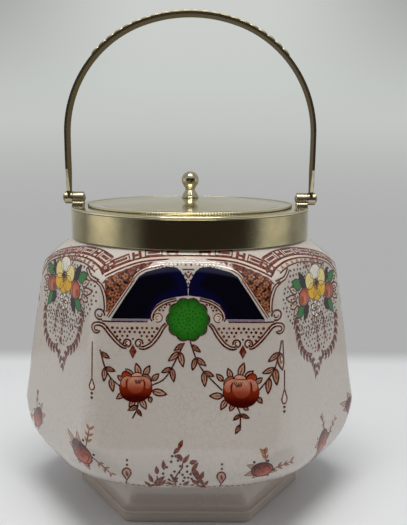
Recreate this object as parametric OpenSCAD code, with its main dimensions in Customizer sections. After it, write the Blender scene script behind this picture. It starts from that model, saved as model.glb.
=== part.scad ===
// Biscuit jar: a six-sided glazed earthenware jar with a plated collar,
// a shallow plated lid with a ball knob, and a swing bail on two hinges.
// Millimetres. Z is up, the origin is at the middle of the resting face,
// one flat face of the jar looks along -Y and the hinge line lies along X.

/* [Jar] */
// Height of the jar's shoulder where the collar covers it
shoulder_top_z = 132.2; // [110:0.2:160]
// Distance from the axis to a flat face at the belly
belly_apothem = 76.8; // [66:0.2:90]
// Height of the belly, the widest level
belly_z = 38.8; // [36:0.2:60]
// Inward lean of the faces above the belly, mm per mm of height
face_lean = 0.128; // [0.05:0.005:0.2]
// Corner radius of the body between two faces
corner_r = 13.5; // [8:0.5:24]
// Height over which the belly turns from the leaning faces into its underside
turn_h = 8; // [4:0.5:12]
// Squareness of the underside's curve, 2 is an ellipse
under_power = 2.8; // [2:0.1:3.5]
// Height at which the underside runs out level
under_z = 24; // [18:0.2:28]
// Distance from the axis at which it does so
under_apothem = 53; // [48:0.5:60]
// Corner radius there, where the underside is nearly round
under_corner_r = 62; // [20:1:70]
// Outward run of the conical shoulder, mm per mm of drop
shoulder_run = 1.3; // [0.9:0.05:1.8]
// Rounding where the shoulder meets the faces
shoulder_blend = 3; // [1:0.5:6]
// Thickness of the earthenware wall
wall = 5; // [3.5:0.5:7]
// Distance of the jar's mouth behind the edge of the metal throat
mouth_gap = 1.3; // [1:0.1:2]
// Thickness of the neck inside the collar
neck_t = 5; // [4:0.1:5.8]
// Depth of the neck's top below the collar's flat top
neck_drop = 2.7; // [2.2:0.1:5]

/* [Foot] */
// Distance from the axis to a flat side of the foot
foot_apothem = 50.6; // [44:0.2:60]
// Corner radius of the foot
foot_corner_r = 6; // [3:0.5:10]
// Height of the foot's upright side
foot_side_h = 5; // [3:0.5:8]
// Distance from the axis to a flat side at the hollow above the foot
cove_apothem = 46.6; // [40:0.2:49]
// Height of the top of that hollow
cove_top_z = 17; // [12:0.5:20]
// Width of the ring that the jar rests on
foot_ring_w = 7; // [4:0.5:12]
// Depth of the recess under the jar
recess_h = 12; // [6:0.5:14]

/* [Collar] */
// Width of the collar's flat top, from the throat to its outer face
rim_w = 9.8; // [9.2:0.1:10.6]
// Clearance between the shoulder and the collar's lower edge
collar_gap = 0.2; // [0.1:0.1:1]
// Height of the collar from that edge to its flat top
collar_h = 14.8; // [12:0.2:18]
// Thickness of the plated sheet
sheet = 0.9; // [0.6:0.05:1.2]
// Radius of the throat that the lid drops into
throat_r = 50.2; // [46:0.1:56]
// Depth of the lip round the throat
throat_lip_h = 5.6; // [3:0.2:8]
// Height of the rounded edge of the rim plate
rim_edge_h = 1.2; // [0.9:0.05:1.6]

/* [Hinges] */
// Height of the hinge line above the collar's flat top
hinge_rise = 3.6; // [3.4:0.05:5]
// Diameter of the hinge barrels
barrel_d = 6; // [5:0.1:6.6]
// Length of the barrel on the collar
barrel_len = 5.4; // [4:0.1:7]
// Distance of that barrel's outer end behind the collar's outer face
barrel_inset = 0.4; // [0.2:0.1:1.4]
// Width of the lug's foot along the rim
lug_foot_w = 9; // [6:0.5:12]
// Diameter of the hinge rivet
rivet_d = 2.4; // [1.8:0.1:3]
// Diameter of the rivet's heads
rivet_head_d = 4.6; // [3.6:0.1:5.4]
// Height of the rivet's heads
rivet_head_h = 1; // [0.6:0.05:1.2]
// Clearance round the rivet in the bail's eye
rivet_play = 0.05; // [0.03:0.01:0.1]
// Side clearance of the bail's eye between lug and rivet head
side_play = 0.3; // [0.2:0.05:0.5]

/* [Bail] */
// Swell of the bail's legs beyond its eyes
bail_swell = 0.9; // [0.5:0.1:7]
// Height of the widest level above the hinge line
bail_wide_rise = 32.2; // [20:0.5:45]
// Height of the top of the bail above the hinge line
bail_rise = 92; // [80:1:120]
// Outer radius of the flatter crown, as a share of the bail's half width
crown_share = 1.136; // [1.06:0.002:1.3]
// Width of the strap
strap_w = 13; // [9:0.5:16]
// Thickness of the strap at its middle
strap_t = 2.1; // [1.4:0.1:3]
// Thickness of the strap at its edges
strap_edge_t = 1.3; // [0.8:0.1:2]
// Distance over which the strap narrows to its eye
strap_taper = 15; // [8:1:25]
// Diameter of the eye at each end
eye_d = 6.2; // [5.4:0.1:6.8]
// Length of the eye along the hinge line
eye_len = 3.6; // [3:0.1:5]

/* [Bead border] */
// Number of beads in each row along the crown
bead_count = 22; // [8:2:26]
// Distance from one bead to the next along the strap
bead_pitch = 5; // [4:0.1:5.5]
// Radius of a bead at its middle
bead_r = 0.85; // [0.5:0.05:1.2]
// Radius between two beads as a share of that
bead_neck = 0.35; // [0.2:0.05:0.7]

/* [Lid] */
// Lap of the lid over the throat's edge
lid_lap = 1.3; // [0.8:0.1:2.2]
// Width of the level brim round the dome
brim_w = 7.5; // [4:0.5:20]
// Height of the dome above its base
dome_rise = 2.9; // [1.5:0.1:8]
// Radius of the rolled edge of the lid
lid_bead_r = 0.5; // [0.4:0.05:0.8]
// Thickness of the lid's sheet
lid_t = 0.8; // [0.5:0.05:1]
// Depth of the locating skirt under the lid
skirt_h = 4.6; // [3:0.2:8]
// Clearance between the skirt and the throat
skirt_play = 0.4; // [0.3:0.05:0.8]

/* [Knob] */
// Diameter of the ball
ball_d = 8.8; // [6:0.2:14]
// Height of the knob above the lid
knob_h = 13.4; // [10:0.2:20]
// Diameter of the waist under the ball
waist_d = 4.8; // [3.5:0.1:7]
// Diameter of the flared foot
knob_foot_d = 8.8; // [6:0.1:14]
// Diameter of the stud through the lid
stud_d = 3; // [2.4:0.1:4]
// Width across the flats of the nut under the lid
nut_flats = 5.5; // [5:0.1:8]
// Height of the nut
nut_h = 2.4; // [1.8:0.1:4]
// Diameter of the washer under the nut
washer_d = 8; // [6.5:0.1:12]

/* [Hidden] */

silver = [0.80, 0.77, 0.66];
glaze = [0.90, 0.88, 0.84];
eps = 0.01;

// Heights that follow from the shoulder, and radii that follow from the throat
collar_bottom_z = shoulder_top_z + collar_gap;
collar_top_z = collar_bottom_z + collar_h;
neck_top_z = collar_top_z - neck_drop;
collar_r = throat_r + rim_w;
mouth_r = throat_r + mouth_gap;
neck_r = mouth_r + neck_t;
barrel_end = collar_r - barrel_inset;
lid_r = throat_r + lid_lap;
dome_base_r = lid_r - brim_w;

// ---- Jar: rings of points, one ring for each station of the section ----

half_side = 7;             // points from the middle of a face to a corner
ring_n = 12 * half_side;   // points in a ring
face_step = 60;            // degrees from one face to the next
half_step = face_step / 2; // degrees from the middle of a face to a corner
first_face = -90;          // the direction of the front face

// Angle of point i from the middle of its face, crowded towards the corners
function spread(i) = half_step * (1 - pow(1 - i / half_side, 2));

// Angle from the middle of the nearest face and the true direction of point j
function off_face(j) =
    let (k = j % (2 * half_side))
    k <= half_side ? spread(k) : spread(2 * half_side - k);
function direction(j) =
    let (face = floor(j / (2 * half_side)), k = j % (2 * half_side))
    first_face + face * face_step + (k <= half_side ? spread(k) : face_step - spread(2 * half_side - k));

// Radius of a hexagon with round corners, a degrees away from a face's middle
function hex_radius(apothem, r, a) =
    let (rr = min(r, apothem - eps), d = (apothem - rr) / cos(half_step), off = half_step - a)
    apothem * tan(a) <= (apothem - rr) * tan(half_step)
        ? apothem / cos(a)
        : d * cos(off) + sqrt(rr * rr - pow(d * sin(off), 2));

// The lesser of two radii, rounded where they cross
function soft_min(p, q, k) = k <= 0 ? min(p, q) : (p + q - sqrt(pow(p - q, 2) + k * k)) / 2;

// Apothem of the body at height z, from the level part of its underside to the top
function body_apothem(z) =
    z < belly_z
        ? let (x = (belly_z - z) / (belly_z - under_z))
          under_apothem + (belly_apothem - under_apothem) * pow(1 - pow(x, under_power), 1 / under_power)
    : z < belly_z + turn_h
        ? belly_apothem - face_lean * pow(z - belly_z, 2) / (2 * turn_h)
    : belly_apothem - face_lean * (z - belly_z - turn_h / 2);

// Corner radius, growing from the start of that turn to the underside
soften_power = 1.1;
function body_corner(z) =
    let (x = max(0, belly_z + turn_h - z) / (belly_z + turn_h - under_z))
    corner_r + (under_corner_r - corner_r) * pow(x, soften_power);

// Radius of the conical shoulder at height z
shoulder_inner_r = collar_r - sheet - 0.1;
function cone_radius(z) = shoulder_inner_r + shoulder_run * (shoulder_top_z - z);
cone_slant = sqrt(1 + shoulder_run * shoulder_run);

// Points of a ring: of the body, inset by the wall or not
function ring(z, inset) = [
    for (j = [0 : ring_n - 1])
        let (
            a = off_face(j),
            flat = hex_radius(body_apothem(z) - inset, max(2, body_corner(z) - inset), a),
            r = soft_min(flat, cone_radius(z) - inset * cone_slant, shoulder_blend)
        )
        [r * cos(direction(j)), r * sin(direction(j)), z]
];

// Points of a ring: of a plain section, which is a circle where r is the apothem
function plain_ring(apothem, r, z) = [
    for (j = [0 : ring_n - 1])
        let (q = hex_radius(apothem, r, off_face(j)))
        [q * cos(direction(j)), q * sin(direction(j)), z]
];

foot_in = foot_apothem - foot_ring_w;
foot_edge = 0.9;           // rounding at the foot's lower edge
ledge = 0.8;               // bead over the foot's upright side
fc = foot_corner_r;

foot_rings = [
    plain_ring(foot_in - 2, fc, recess_h),
    plain_ring(foot_in - 0.6, fc, recess_h / 3),
    plain_ring(foot_in + foot_edge, fc, 0),
    plain_ring(foot_apothem - foot_edge, fc, 0),
    plain_ring(foot_apothem, fc, foot_edge),
    plain_ring(foot_apothem, fc, foot_side_h - ledge),
    plain_ring(foot_apothem + ledge / 2, fc, foot_side_h),
    plain_ring(foot_apothem, fc, foot_side_h + ledge),
    for (t = [0 : 0.25 : 1])
        plain_ring(
            cove_apothem + (foot_apothem - 1 - cove_apothem) * pow(1 - t, 2),
            fc,
            foot_side_h + ledge + t * (cove_top_z - foot_side_h - ledge)
        )
];

under_steps = 9;
under_rings = [
    plain_ring(cove_apothem + 1, (fc + cove_apothem) / 3, under_z - 2.4),
    for (i = [1 : under_steps])
        ring(belly_z - (belly_z - under_z) * cos(90 * i / under_steps), 0)
];

face_levels = [for (t = [1 / 3, 2 / 3, 1]) belly_z + t * turn_h];
high_levels = [84, 108];
shoulder_depth = 18;       // reach of the finely stepped shoulder below its top
shoulder_levels = [for (z = [shoulder_top_z - shoulder_depth : 2.2 : shoulder_top_z - 2]) z];
neck_foot_z = shoulder_top_z + (shoulder_inner_r - neck_r) / shoulder_run;
neck_round = 0.8;

neck_rings = [
    plain_ring(neck_r, neck_r, neck_foot_z),
    plain_ring(neck_r, neck_r, neck_top_z - neck_round),
    plain_ring(neck_r - neck_round, neck_r, neck_top_z),
    plain_ring(mouth_r + neck_round, mouth_r + neck_round, neck_top_z),
    plain_ring(mouth_r, mouth_r, neck_top_z - neck_round),
    plain_ring(mouth_r, mouth_r, shoulder_top_z - wall + 1)
];

// The floor sinks a little where the foot is below it
floor_z = recess_h + wall + 3;
inner_low = belly_z - 6;
inner_side = body_apothem(inner_low) - wall;
inner_level = under_z + wall + 0.4;
inner_levels = [
    for (z = [shoulder_top_z - wall - 4 : -3.5 : shoulder_top_z - shoulder_depth - 2]) z,
    for (i = [len(high_levels) - 1 : -1 : 0]) high_levels[i],
    belly_z + turn_h, belly_z + turn_h / 2, belly_z - 1, inner_low
];
inner_rings = [
    for (z = inner_levels) ring(z, wall),
    for (t = [0.4 : 0.3 : 1])
        plain_ring(
            inner_side - (inner_side - under_apothem) * (1 - cos(90 * t)),
            under_corner_r / 2,
            inner_low - (inner_low - inner_level) * sin(90 * t)
        ),
    plain_ring(cove_apothem - wall, cove_apothem / 3, inner_level - 1.5),
    plain_ring(cove_apothem - wall - 4, cove_apothem / 3, floor_z)
];

jar_rings = concat(
    foot_rings,
    under_rings,
    [for (z = concat(face_levels, high_levels)) ring(z, 0)],
    [for (z = shoulder_levels) ring(z, 0)],
    neck_rings,
    inner_rings
);

module loft(rings) {
    n = len(rings[0]);
    points = [for (r = rings) for (p = r) p];
    sides = [
        for (i = [0 : len(rings) - 2]) for (j = [0 : n - 1])
            let (a = i * n + j, b = i * n + (j + 1) % n, c = a + n, d = b + n)
            each [[a, d, b], [a, c, d]]
    ];
    // Each end is closed by a fan round a point on the axis
    low = len(points);
    high = low + 1;
    base = (len(rings) - 1) * n;
    ends = [for (j = [0 : n - 1]) each [
        [low, j, (j + 1) % n],
        [high, base + (j + 1) % n, base + j]
    ]];
    centres = [[0, 0, rings[0][0][2]], [0, 0, points[base][2]]];
    polyhedron(concat(points, centres), concat(sides, ends), convexity = 6);
}

module jar_body() {
    color(glaze) loft(jar_rings);
}

// ---- Collar ----

lip_t = sheet;
lip_out = throat_r + lip_t;

// Plaster that fills the collar round the neck and over its top
module plaster_bed() {
    out = collar_r - sheet;
    color([0.86, 0.84, 0.78]) rotate_extrude($fn = 180) polygon([
        [neck_r, neck_foot_z + 0.3],
        [out, shoulder_top_z + 0.5],
        [out, collar_top_z - rim_edge_h],
        [lip_out, collar_top_z - rim_edge_h],
        [lip_out, neck_top_z],
        [neck_r, neck_top_z]
    ]);
}

module collar_band() {
    h = collar_top_z - rim_edge_h - collar_bottom_z;
    edge = sheet / 3;
    color(silver) rotate_extrude($fn = 180) translate([collar_r - sheet, collar_bottom_z]) {
        square([sheet - edge, h]);
        translate([0, edge]) square([sheet, h - 2 * edge]);
        for (z = [edge, h - edge]) translate([sheet - edge, z]) circle(edge, $fn = 32);
    }
}

// Flat ring over the collar, with a round outer edge and a lip into the throat
module rim_plate() {
    edge = rim_edge_h / 2;
    color(silver) rotate_extrude($fn = 180) {
        translate([throat_r + edge, collar_top_z - rim_edge_h])
            square([collar_r - throat_r - 2 * edge, rim_edge_h]);
        translate([collar_r - edge, collar_top_z - edge]) circle(edge, $fn = 32);
        intersection() {
            translate([throat_r + edge, collar_top_z - edge]) circle(edge, $fn = 32);
            translate([throat_r, collar_top_z - edge]) square(edge + eps);
        }
        translate([throat_r, collar_top_z - rim_edge_h - throat_lip_h])
            square([lip_t, rim_edge_h + throat_lip_h - edge]);
    }
}

// ---- Hinges, drawn on the right side and turned to the left ----

hinge_z = collar_top_z + hinge_rise;

// Mirrors the right-hand piece for the left side
module on_side(side) {
    if (side < 0) mirror([1, 0, 0]) children();
    else children();
}

// Places a shape drawn round the Z axis so that it lies along the hinge line
module along_hinge(x) {
    translate([x, 0, hinge_z]) rotate([0, 90, 0]) children();
}

// Barrel on a waisted foot, the section of which runs along the hinge line
module hinge_lug(side) {
    x0 = barrel_end - barrel_len;
    waist = barrel_d * 0.66;
    scoop = (lug_foot_w - waist) / 2;
    color(silver) on_side(side) difference() {
        translate([x0, 0, 0]) rotate([90, 0, 90]) linear_extrude(barrel_len) {
            translate([0, hinge_z]) circle(d = barrel_d, $fn = 64);
            difference() {
                translate([-lug_foot_w / 2, collar_top_z]) square([lug_foot_w, hinge_rise]);
                for (s = [-1, 1])
                    translate([s * lug_foot_w / 2, collar_top_z + scoop + 0.5])
                        circle(scoop, $fn = 48);
                for (s = [-1, 1])
                    translate([s * (lug_foot_w + waist) / 4 - scoop / 2, collar_top_z + scoop + 0.5])
                        square([scoop, hinge_rise]);
            }
        }
        along_hinge(x0 - 1) cylinder(d = rivet_d, h = barrel_len + 2, $fn = 48);
    }
}

eye_in = barrel_end + side_play;
eye_out = eye_in + eye_len;

// Domed rivet head with its flat side at z = 0
module rivet_head() {
    ball_r = (pow(rivet_head_d / 2, 2) + pow(rivet_head_h, 2)) / (2 * rivet_head_h);
    rotate_extrude($fn = 48) intersection() {
        translate([0, rivet_head_h - ball_r]) circle(ball_r, $fn = 96);
        square([rivet_head_d, rivet_head_h]);
    }
}

module hinge_rivet(side) {
    x0 = barrel_end - barrel_len;
    shank = eye_out + side_play - x0;
    color(silver * 0.92) on_side(side) {
        along_hinge(x0) cylinder(d = rivet_d, h = shank, $fn = 48);
        along_hinge(x0 + shank) rivet_head();
        along_hinge(x0) mirror([0, 0, 1]) rivet_head();
    }
}

// ---- Bail: arcs that run into each other without a corner ----

// The legs draw in a little towards the eyes
eye_strap_out = eye_out - 1;
bail_half_w = eye_strap_out + bail_swell;
leg_r = (pow(bail_wide_rise, 2) + pow(bail_swell, 2)) / (2 * bail_swell);
leg_angle = asin(bail_wide_rise / leg_r);

// Height from the widest level to the top, and the arc between leg and crown
crown_r = crown_share * bail_half_w;
arc_rise = bail_rise - bail_wide_rise;
blend_angle = 2 * atan((crown_r - bail_half_w) / (crown_r - arc_rise));
shoulder_x = (crown_r - arc_rise) / tan(blend_angle);
bend_r = bail_half_w - shoulder_x;
wide_z = hinge_z + bail_wide_rise;
crown_z = hinge_z + bail_rise - crown_r;

ledge_w = 2 * bead_r + 0.2;
edge_step = 0.3;           // the band's own depth at its edges
joint_skin = 0.03;         // each arc's section is this much inside the next one's
seat_gap = 0.02;           // between the bead wire and its ledge

// Section of the strap with its outer face at x = r: flat inside, with a
// crowned band between two flat ledges outside, less a skin all round
module strap_section(r, skin) {
    crown = strap_t - strap_edge_t;
    band_w = strap_w - 2 * ledge_w;
    ball_r = (pow(band_w / 2, 2) + crown * crown) / (2 * crown);
    translate([r - strap_t + skin, skin - strap_w / 2])
        square([strap_edge_t - 2 * skin, strap_w - 2 * skin]);
    intersection() {
        translate([r - ball_r, 0]) circle(ball_r - skin, $fn = 180);
        translate([r - crown - edge_step, skin - band_w / 2])
            square([crown + edge_step, band_w - 2 * skin]);
    }
}

// An arc of strap about a centre in the XZ plane, from angle a0 to a1
module strap_arc(x, z, r, a0, a1, n, skin = 0) {
    translate([x, 0, z]) rotate([90, 0, 0]) rotate([0, 0, a0])
        rotate_extrude(angle = a1 - a0, $fn = n) strap_section(r, skin);
}

// Outline of the leg seen along the hinge line, narrowing to the eye
module leg_outline() {
    polygon([
        [-strap_w / 2, bail_wide_rise + 2],
        [-strap_w / 2, strap_taper],
        [-strap_w / 2 + (strap_w - eye_d) / 8, strap_taper * 0.72],
        [-eye_d / 2, strap_taper * 0.24],
        [-eye_d / 2, 0],
        [eye_d / 2, 0],
        [eye_d / 2, strap_taper * 0.24],
        [strap_w / 2 - (strap_w - eye_d) / 8, strap_taper * 0.72],
        [strap_w / 2, strap_taper],
        [strap_w / 2, bail_wide_rise + 2]
    ]);
    circle(d = eye_d, $fn = 64);
}

leg_span = 24;             // reach of that outline along the hinge line
module bail_leg(side) {
    on_side(side) difference() {
        union() {
            intersection() {
                strap_arc(bail_half_w - leg_r, wide_z, leg_r, -leg_angle - 0.5, 0.1, 1440, 2 * joint_skin);
                translate([bail_half_w - leg_span / 2, 0, hinge_z]) rotate([90, 0, 90])
                    linear_extrude(leg_span) leg_outline();
            }
            along_hinge(eye_in) cylinder(d = eye_d, h = eye_len, $fn = 64);
        }
        along_hinge(eye_in - 1)
            cylinder(d = rivet_d + 2 * rivet_play, h = eye_len + 2, $fn = 64);
    }
}

// Place and direction on the crown's outer face, s mm along it from the top
crown_half = crown_r * (90 - blend_angle) * PI / 180;
function on_bail(s, drop) =
    abs(s) <= crown_half
        ? let (a = s / crown_r * 180 / PI, r = crown_r - drop)
          [r * sin(a), crown_z + r * cos(a), a]
        : let (a = 90 - blend_angle + (abs(s) - crown_half) / bend_r * 180 / PI, r = bend_r - drop)
          [sign(s) * (shoulder_x + r * sin(a)), wide_z + r * cos(a), sign(s) * a];

// Radius of a row of beads, s mm from its start
function bead_radius(s) =
    let (x = (s / bead_pitch) % 1)
    bead_r * (bead_neck + (1 - bead_neck) * pow(sin(180 * x), 0.6));

// Half-round wire of beads that lies on a ledge of the strap, y mm off its middle
bead_steps = 6;            // rings in a bead
bead_sides = 6;            // sides of its half-round
module bead_row(y) {
    total = bead_count * bead_pitch;
    n = bead_count * bead_steps;
    rows = [for (i = [0 : n]) let (s = i * bead_pitch / bead_steps) [
        for (k = [0 : bead_sides])
            let (
                a = 180 * k / bead_sides,
                r = bead_radius(s + eps),
                up = on_bail(s - total / 2, strap_t - strap_edge_t - seat_gap - r * sin(a))
            )
            [up[0], y + r * cos(a), up[1]]
    ]];
    m = bead_sides + 1;
    points = [for (r = rows) for (p = r) p];
    sides = [
        for (i = [0 : n - 1]) for (k = [0 : m - 1])
            let (a = i * m + k, b = i * m + (k + 1) % m)
            each [[a, b, b + m], [a, b + m, a + m]]
    ];
    first = [for (k = [1 : m - 2]) [0, k + 1, k]];
    last = [for (k = [1 : m - 2]) [n * m, n * m + k, n * m + k + 1]];
    polyhedron(points, concat(sides, first, last), convexity = 10);
}

module bead_border(side) {
    color(silver) bead_row(side * (strap_w / 2 - bead_r - 0.1));
}

module bail_strap() {
    color(silver) {
        for (side = [-1, 1]) {
            bail_leg(side);
            on_side(side) strap_arc(shoulder_x, wide_z, bend_r, 0, blend_angle + 1, 240, joint_skin);
        }
        strap_arc(0, crown_z, crown_r, blend_angle, 180 - blend_angle, 240);
    }
}

// ---- Lid ----

brim_z = collar_top_z;
dome_base_z = brim_z + 0.2;
dome_out_r = (dome_base_r * dome_base_r + dome_rise * dome_rise) / (2 * dome_rise);
dome_top_z = dome_base_z + dome_rise;
skirt_r = throat_r - skirt_play;

// Sheet with a rolled edge, a brim over the throat and a shallow dome
module lid_cover() {
    color(silver) rotate_extrude($fn = 180) difference() {
        union() {
            translate([lid_r - lid_bead_r, brim_z + lid_bead_r]) circle(lid_bead_r, $fn = 32);
            translate([dome_base_r, brim_z])
                square([lid_r - lid_bead_r - dome_base_r, lid_t]);
            intersection() {
                translate([0, dome_top_z + lid_t - dome_out_r]) difference() {
                    circle(dome_out_r, $fn = 1440);
                    circle(dome_out_r - lid_t, $fn = 1440);
                }
                translate([0, brim_z]) square([dome_base_r + 1, dome_rise + 2]);
            }
        }
        translate([0, brim_z - 1]) square([stud_d / 2, dome_rise + 4]);
    }
}

module lid_skirt() {
    color(silver) rotate_extrude($fn = 180)
        translate([skirt_r - lid_t, brim_z - skirt_h]) square([lid_t, skirt_h]);
}

// ---- Knob, turned in one piece with its stud ----

knob_z = dome_top_z + lid_t;
ball_z = knob_z + knob_h - ball_d / 2;

module knob() {
    foot_h = 1;
    flare_r = 2.6;
    color(silver) {
        rotate_extrude($fn = 96) {
            intersection() {
                translate([0, ball_z]) circle(d = ball_d, $fn = 96);
                translate([0, knob_z]) square([ball_d, knob_h]);
            }
            polygon([
                [0, knob_z + foot_h],
                [knob_foot_d / 2 - 0.3, knob_z + foot_h],
                [knob_foot_d / 2 - 0.6, knob_z + foot_h + 0.9],
                [waist_d / 2 + 0.7, knob_z + foot_h + 2],
                [waist_d / 2, knob_z + foot_h + 3.1],
                [waist_d / 2 + 0.2, knob_z + foot_h + 3.8],
                [ball_d / 2 * sin(50), ball_z - ball_d / 2 * cos(50)],
                [0, ball_z]
            ]);
            translate([0, knob_z]) square([knob_foot_d / 2 - foot_h / 2, foot_h]);
            translate([knob_foot_d / 2 - foot_h / 2, knob_z + foot_h / 2])
                circle(d = foot_h, $fn = 32);
        }
        translate([0, 0, knob_z - stud_reach])
            cylinder(d = stud_d - 0.1, h = stud_reach + 1, $fn = 48);
    }
}

washer_t = 0.8;
dome_in_r = dome_out_r - lid_t;
washer_sag = dome_in_r - sqrt(pow(dome_in_r, 2) - pow(washer_d / 2, 2)) + eps;
washer_z = knob_z - lid_t - washer_sag - washer_t;
stud_reach = lid_t + washer_sag + washer_t + nut_h + 0.4;

module knob_washer() {
    color(silver) translate([0, 0, washer_z]) difference() {
        cylinder(d = washer_d, h = washer_t, $fn = 64);
        translate([0, 0, -1]) cylinder(d = stud_d + 0.2, h = washer_t + 2, $fn = 48);
    }
}

module knob_nut() {
    color(silver * 0.9) translate([0, 0, washer_z - nut_h]) difference() {
        cylinder(d = nut_flats / cos(30), h = nut_h, $fn = 6);
        translate([0, 0, -1]) cylinder(d = stud_d, h = nut_h + 2, $fn = 48);
    }
}

jar_body();
plaster_bed();
collar_band();
rim_plate();
hinge_lug(-1);  // hinge_lug_left
hinge_lug(1);  // hinge_lug_right
hinge_rivet(-1);  // hinge_rivet_left
hinge_rivet(1);  // hinge_rivet_right
bail_strap();
bead_border(-1);  // bead_border_front
bead_border(1);  // bead_border_back
lid_cover();
lid_skirt();
knob();
knob_washer();
knob_nut();
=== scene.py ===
"""Looks of the biscuit jar: glaze, printed and enamelled ornament, plated metal, camera and studio.

Sizes are millimetres in the part's own frame and are turned into metres where a mesh is made.
"""

import random
from math import atan2, ceil, cos, degrees, dist, hypot, inf, pi, radians, sin, tan

import bpy
import numpy as np
from mathutils import Matrix, Vector
from mathutils.geometry import delaunay_2d_cdt


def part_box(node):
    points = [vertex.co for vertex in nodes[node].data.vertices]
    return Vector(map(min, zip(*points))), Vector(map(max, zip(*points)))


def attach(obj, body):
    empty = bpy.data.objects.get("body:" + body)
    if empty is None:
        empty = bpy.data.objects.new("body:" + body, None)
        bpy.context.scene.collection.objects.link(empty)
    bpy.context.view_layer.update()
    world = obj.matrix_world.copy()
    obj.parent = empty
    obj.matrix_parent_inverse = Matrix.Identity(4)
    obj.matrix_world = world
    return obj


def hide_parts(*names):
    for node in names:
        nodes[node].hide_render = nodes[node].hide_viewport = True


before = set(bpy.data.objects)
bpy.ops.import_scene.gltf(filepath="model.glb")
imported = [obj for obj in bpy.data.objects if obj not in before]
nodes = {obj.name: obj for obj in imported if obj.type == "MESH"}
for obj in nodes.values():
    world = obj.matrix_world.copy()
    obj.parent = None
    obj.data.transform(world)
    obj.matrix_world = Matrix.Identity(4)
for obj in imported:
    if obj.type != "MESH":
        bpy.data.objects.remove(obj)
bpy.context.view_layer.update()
MM = 0.001
rng = random.Random(11)


def srgb(r, g, b):
    """Linear colour from 8-bit display values."""
    shares = (r / 255, g / 255, b / 255)
    return tuple(c / 12.92 if c <= 0.04045 else ((c + 0.055) / 1.055) ** 2.4 for c in shares)


# ---- Camera ----

IMAGE_H = 525                    # pixels, the long side
FOCAL_PX = 800.8
SENSOR = 36.0
PITCH = radians(9.098)      # downwards
ROLL = radians(0.394)
EYE = Vector((7.04, -408.5, 183.04)) * MM


def make_camera():
    """The camera of the photograph, fitted to its outlines."""
    data = bpy.data.cameras.new("camera")
    data.sensor_width = SENSOR
    data.lens = FOCAL_PX / IMAGE_H * SENSOR
    data.clip_start = 0.01
    forward = Vector((0, cos(PITCH), -sin(PITCH)))
    side = Vector((1, 0, 0))
    up = side.cross(forward)
    right = side * cos(ROLL) + up * sin(ROLL)
    top = up * cos(ROLL) - side * sin(ROLL)
    camera = bpy.data.objects.new("camera", data)
    bpy.context.scene.collection.objects.link(camera)
    camera.matrix_world = Matrix.Translation(EYE) @ Matrix((right, top, -forward)).transposed().to_4x4()
    bpy.context.scene.camera = camera


# ---- Surface of the jar, in face coordinates ----
# Face k looks in the direction -90 + 60 k degrees. On it, u runs to the right seen
# from outside, and v is the height above the 60 mm level and the arc length below it.

BELLY_APOTHEM, BELLY_Z = 76.8, 38.8
FACE_LEAN, TURN_H = 0.128, 8.0
UNDER_POWER, UNDER_Z, UNDER_APOTHEM = 2.8, 24.0, 53.0
CORNER_R, UNDER_CORNER_R, SOFTEN_POWER = 13.5, 62.0, 1.1
SHOULDER_TOP, SHOULDER_RUN, SHOULDER_BLEND, SHOULDER_R = 132.2, 1.3, 3.0, 59.0
WALL = 5.0
V_ZERO = 60.0
TURN = radians(60)
ANGLE_ROUNDS = 8


def apothem(z):
    """Distance from the axis to the middle of a face."""
    x = np.clip((BELLY_Z - z) / (BELLY_Z - UNDER_Z), 0, 1)
    below = UNDER_APOTHEM + (BELLY_APOTHEM - UNDER_APOTHEM) * (1 - x**UNDER_POWER) ** (1 / UNDER_POWER)
    turn = np.clip(z - BELLY_Z, 0, TURN_H)
    lean = FACE_LEAN * (turn**2 / (2 * TURN_H) + np.maximum(0, z - BELLY_Z - TURN_H))
    return np.where(z < BELLY_Z, below, BELLY_APOTHEM - lean)


def corner(z):
    """Radius of the rounds between the faces."""
    top = BELLY_Z + TURN_H
    return CORNER_R + (UNDER_CORNER_R - CORNER_R) * (np.maximum(0, top - z) / (top - UNDER_Z)) ** SOFTEN_POWER


def hex_radius(flat, r, a):
    """Radius of a hexagon with round corners, a radians from the middle of a face."""
    r = np.minimum(r, flat - 0.01)
    d = (flat - r) / cos(TURN / 2)
    off = TURN / 2 - a
    on_corner = d * np.cos(off) + np.sqrt(np.maximum(0, r * r - (d * np.sin(off)) ** 2))
    return np.where(flat * np.tan(a) <= (flat - r) * tan(TURN / 2), flat / np.cos(a), on_corner)


def body_radius(z, a, inset=0.0):
    """Radius of the faces and of the cone of the shoulder, blended; the inset is the wall's thickness."""
    flat = hex_radius(apothem(z) - inset, np.maximum(2, corner(z) - inset), a)
    slant = hypot(1, SHOULDER_RUN)
    cone = SHOULDER_R + SHOULDER_RUN * (SHOULDER_TOP - z) - inset * slant
    return (flat + cone - np.sqrt((flat - cone) ** 2 + SHOULDER_BLEND**2)) / 2


def off_middle(a):
    """Angle from the middle of the nearest face."""
    return np.abs((a + TURN / 2) % TURN - TURN / 2)


_arc_z = np.append(np.arange(V_ZERO, UNDER_Z + 0.05, -0.1), UNDER_Z + 0.01)
_arc_r = body_radius(_arc_z, np.zeros_like(_arc_z))
_arc_v = V_ZERO - np.append(0, np.cumsum(np.hypot(np.diff(_arc_z), np.diff(_arc_r))))


def on_body(k, u, v):
    """Points of the jar's surface. The angle is found in rounds, since the radius depends on it."""
    z = np.where(v >= V_ZERO, v, np.interp(v, _arc_v[::-1], _arc_z[::-1]))
    a = np.zeros_like(u)
    for _ in range(ANGLE_ROUNDS):
        a = np.arcsin(np.clip(u / body_radius(z, off_middle(a)), -0.99, 0.99))
    r = body_radius(z, off_middle(a))
    t = a - pi / 2 + TURN * k
    return np.stack([r * np.cos(t), r * np.sin(t), z], -1)


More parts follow.
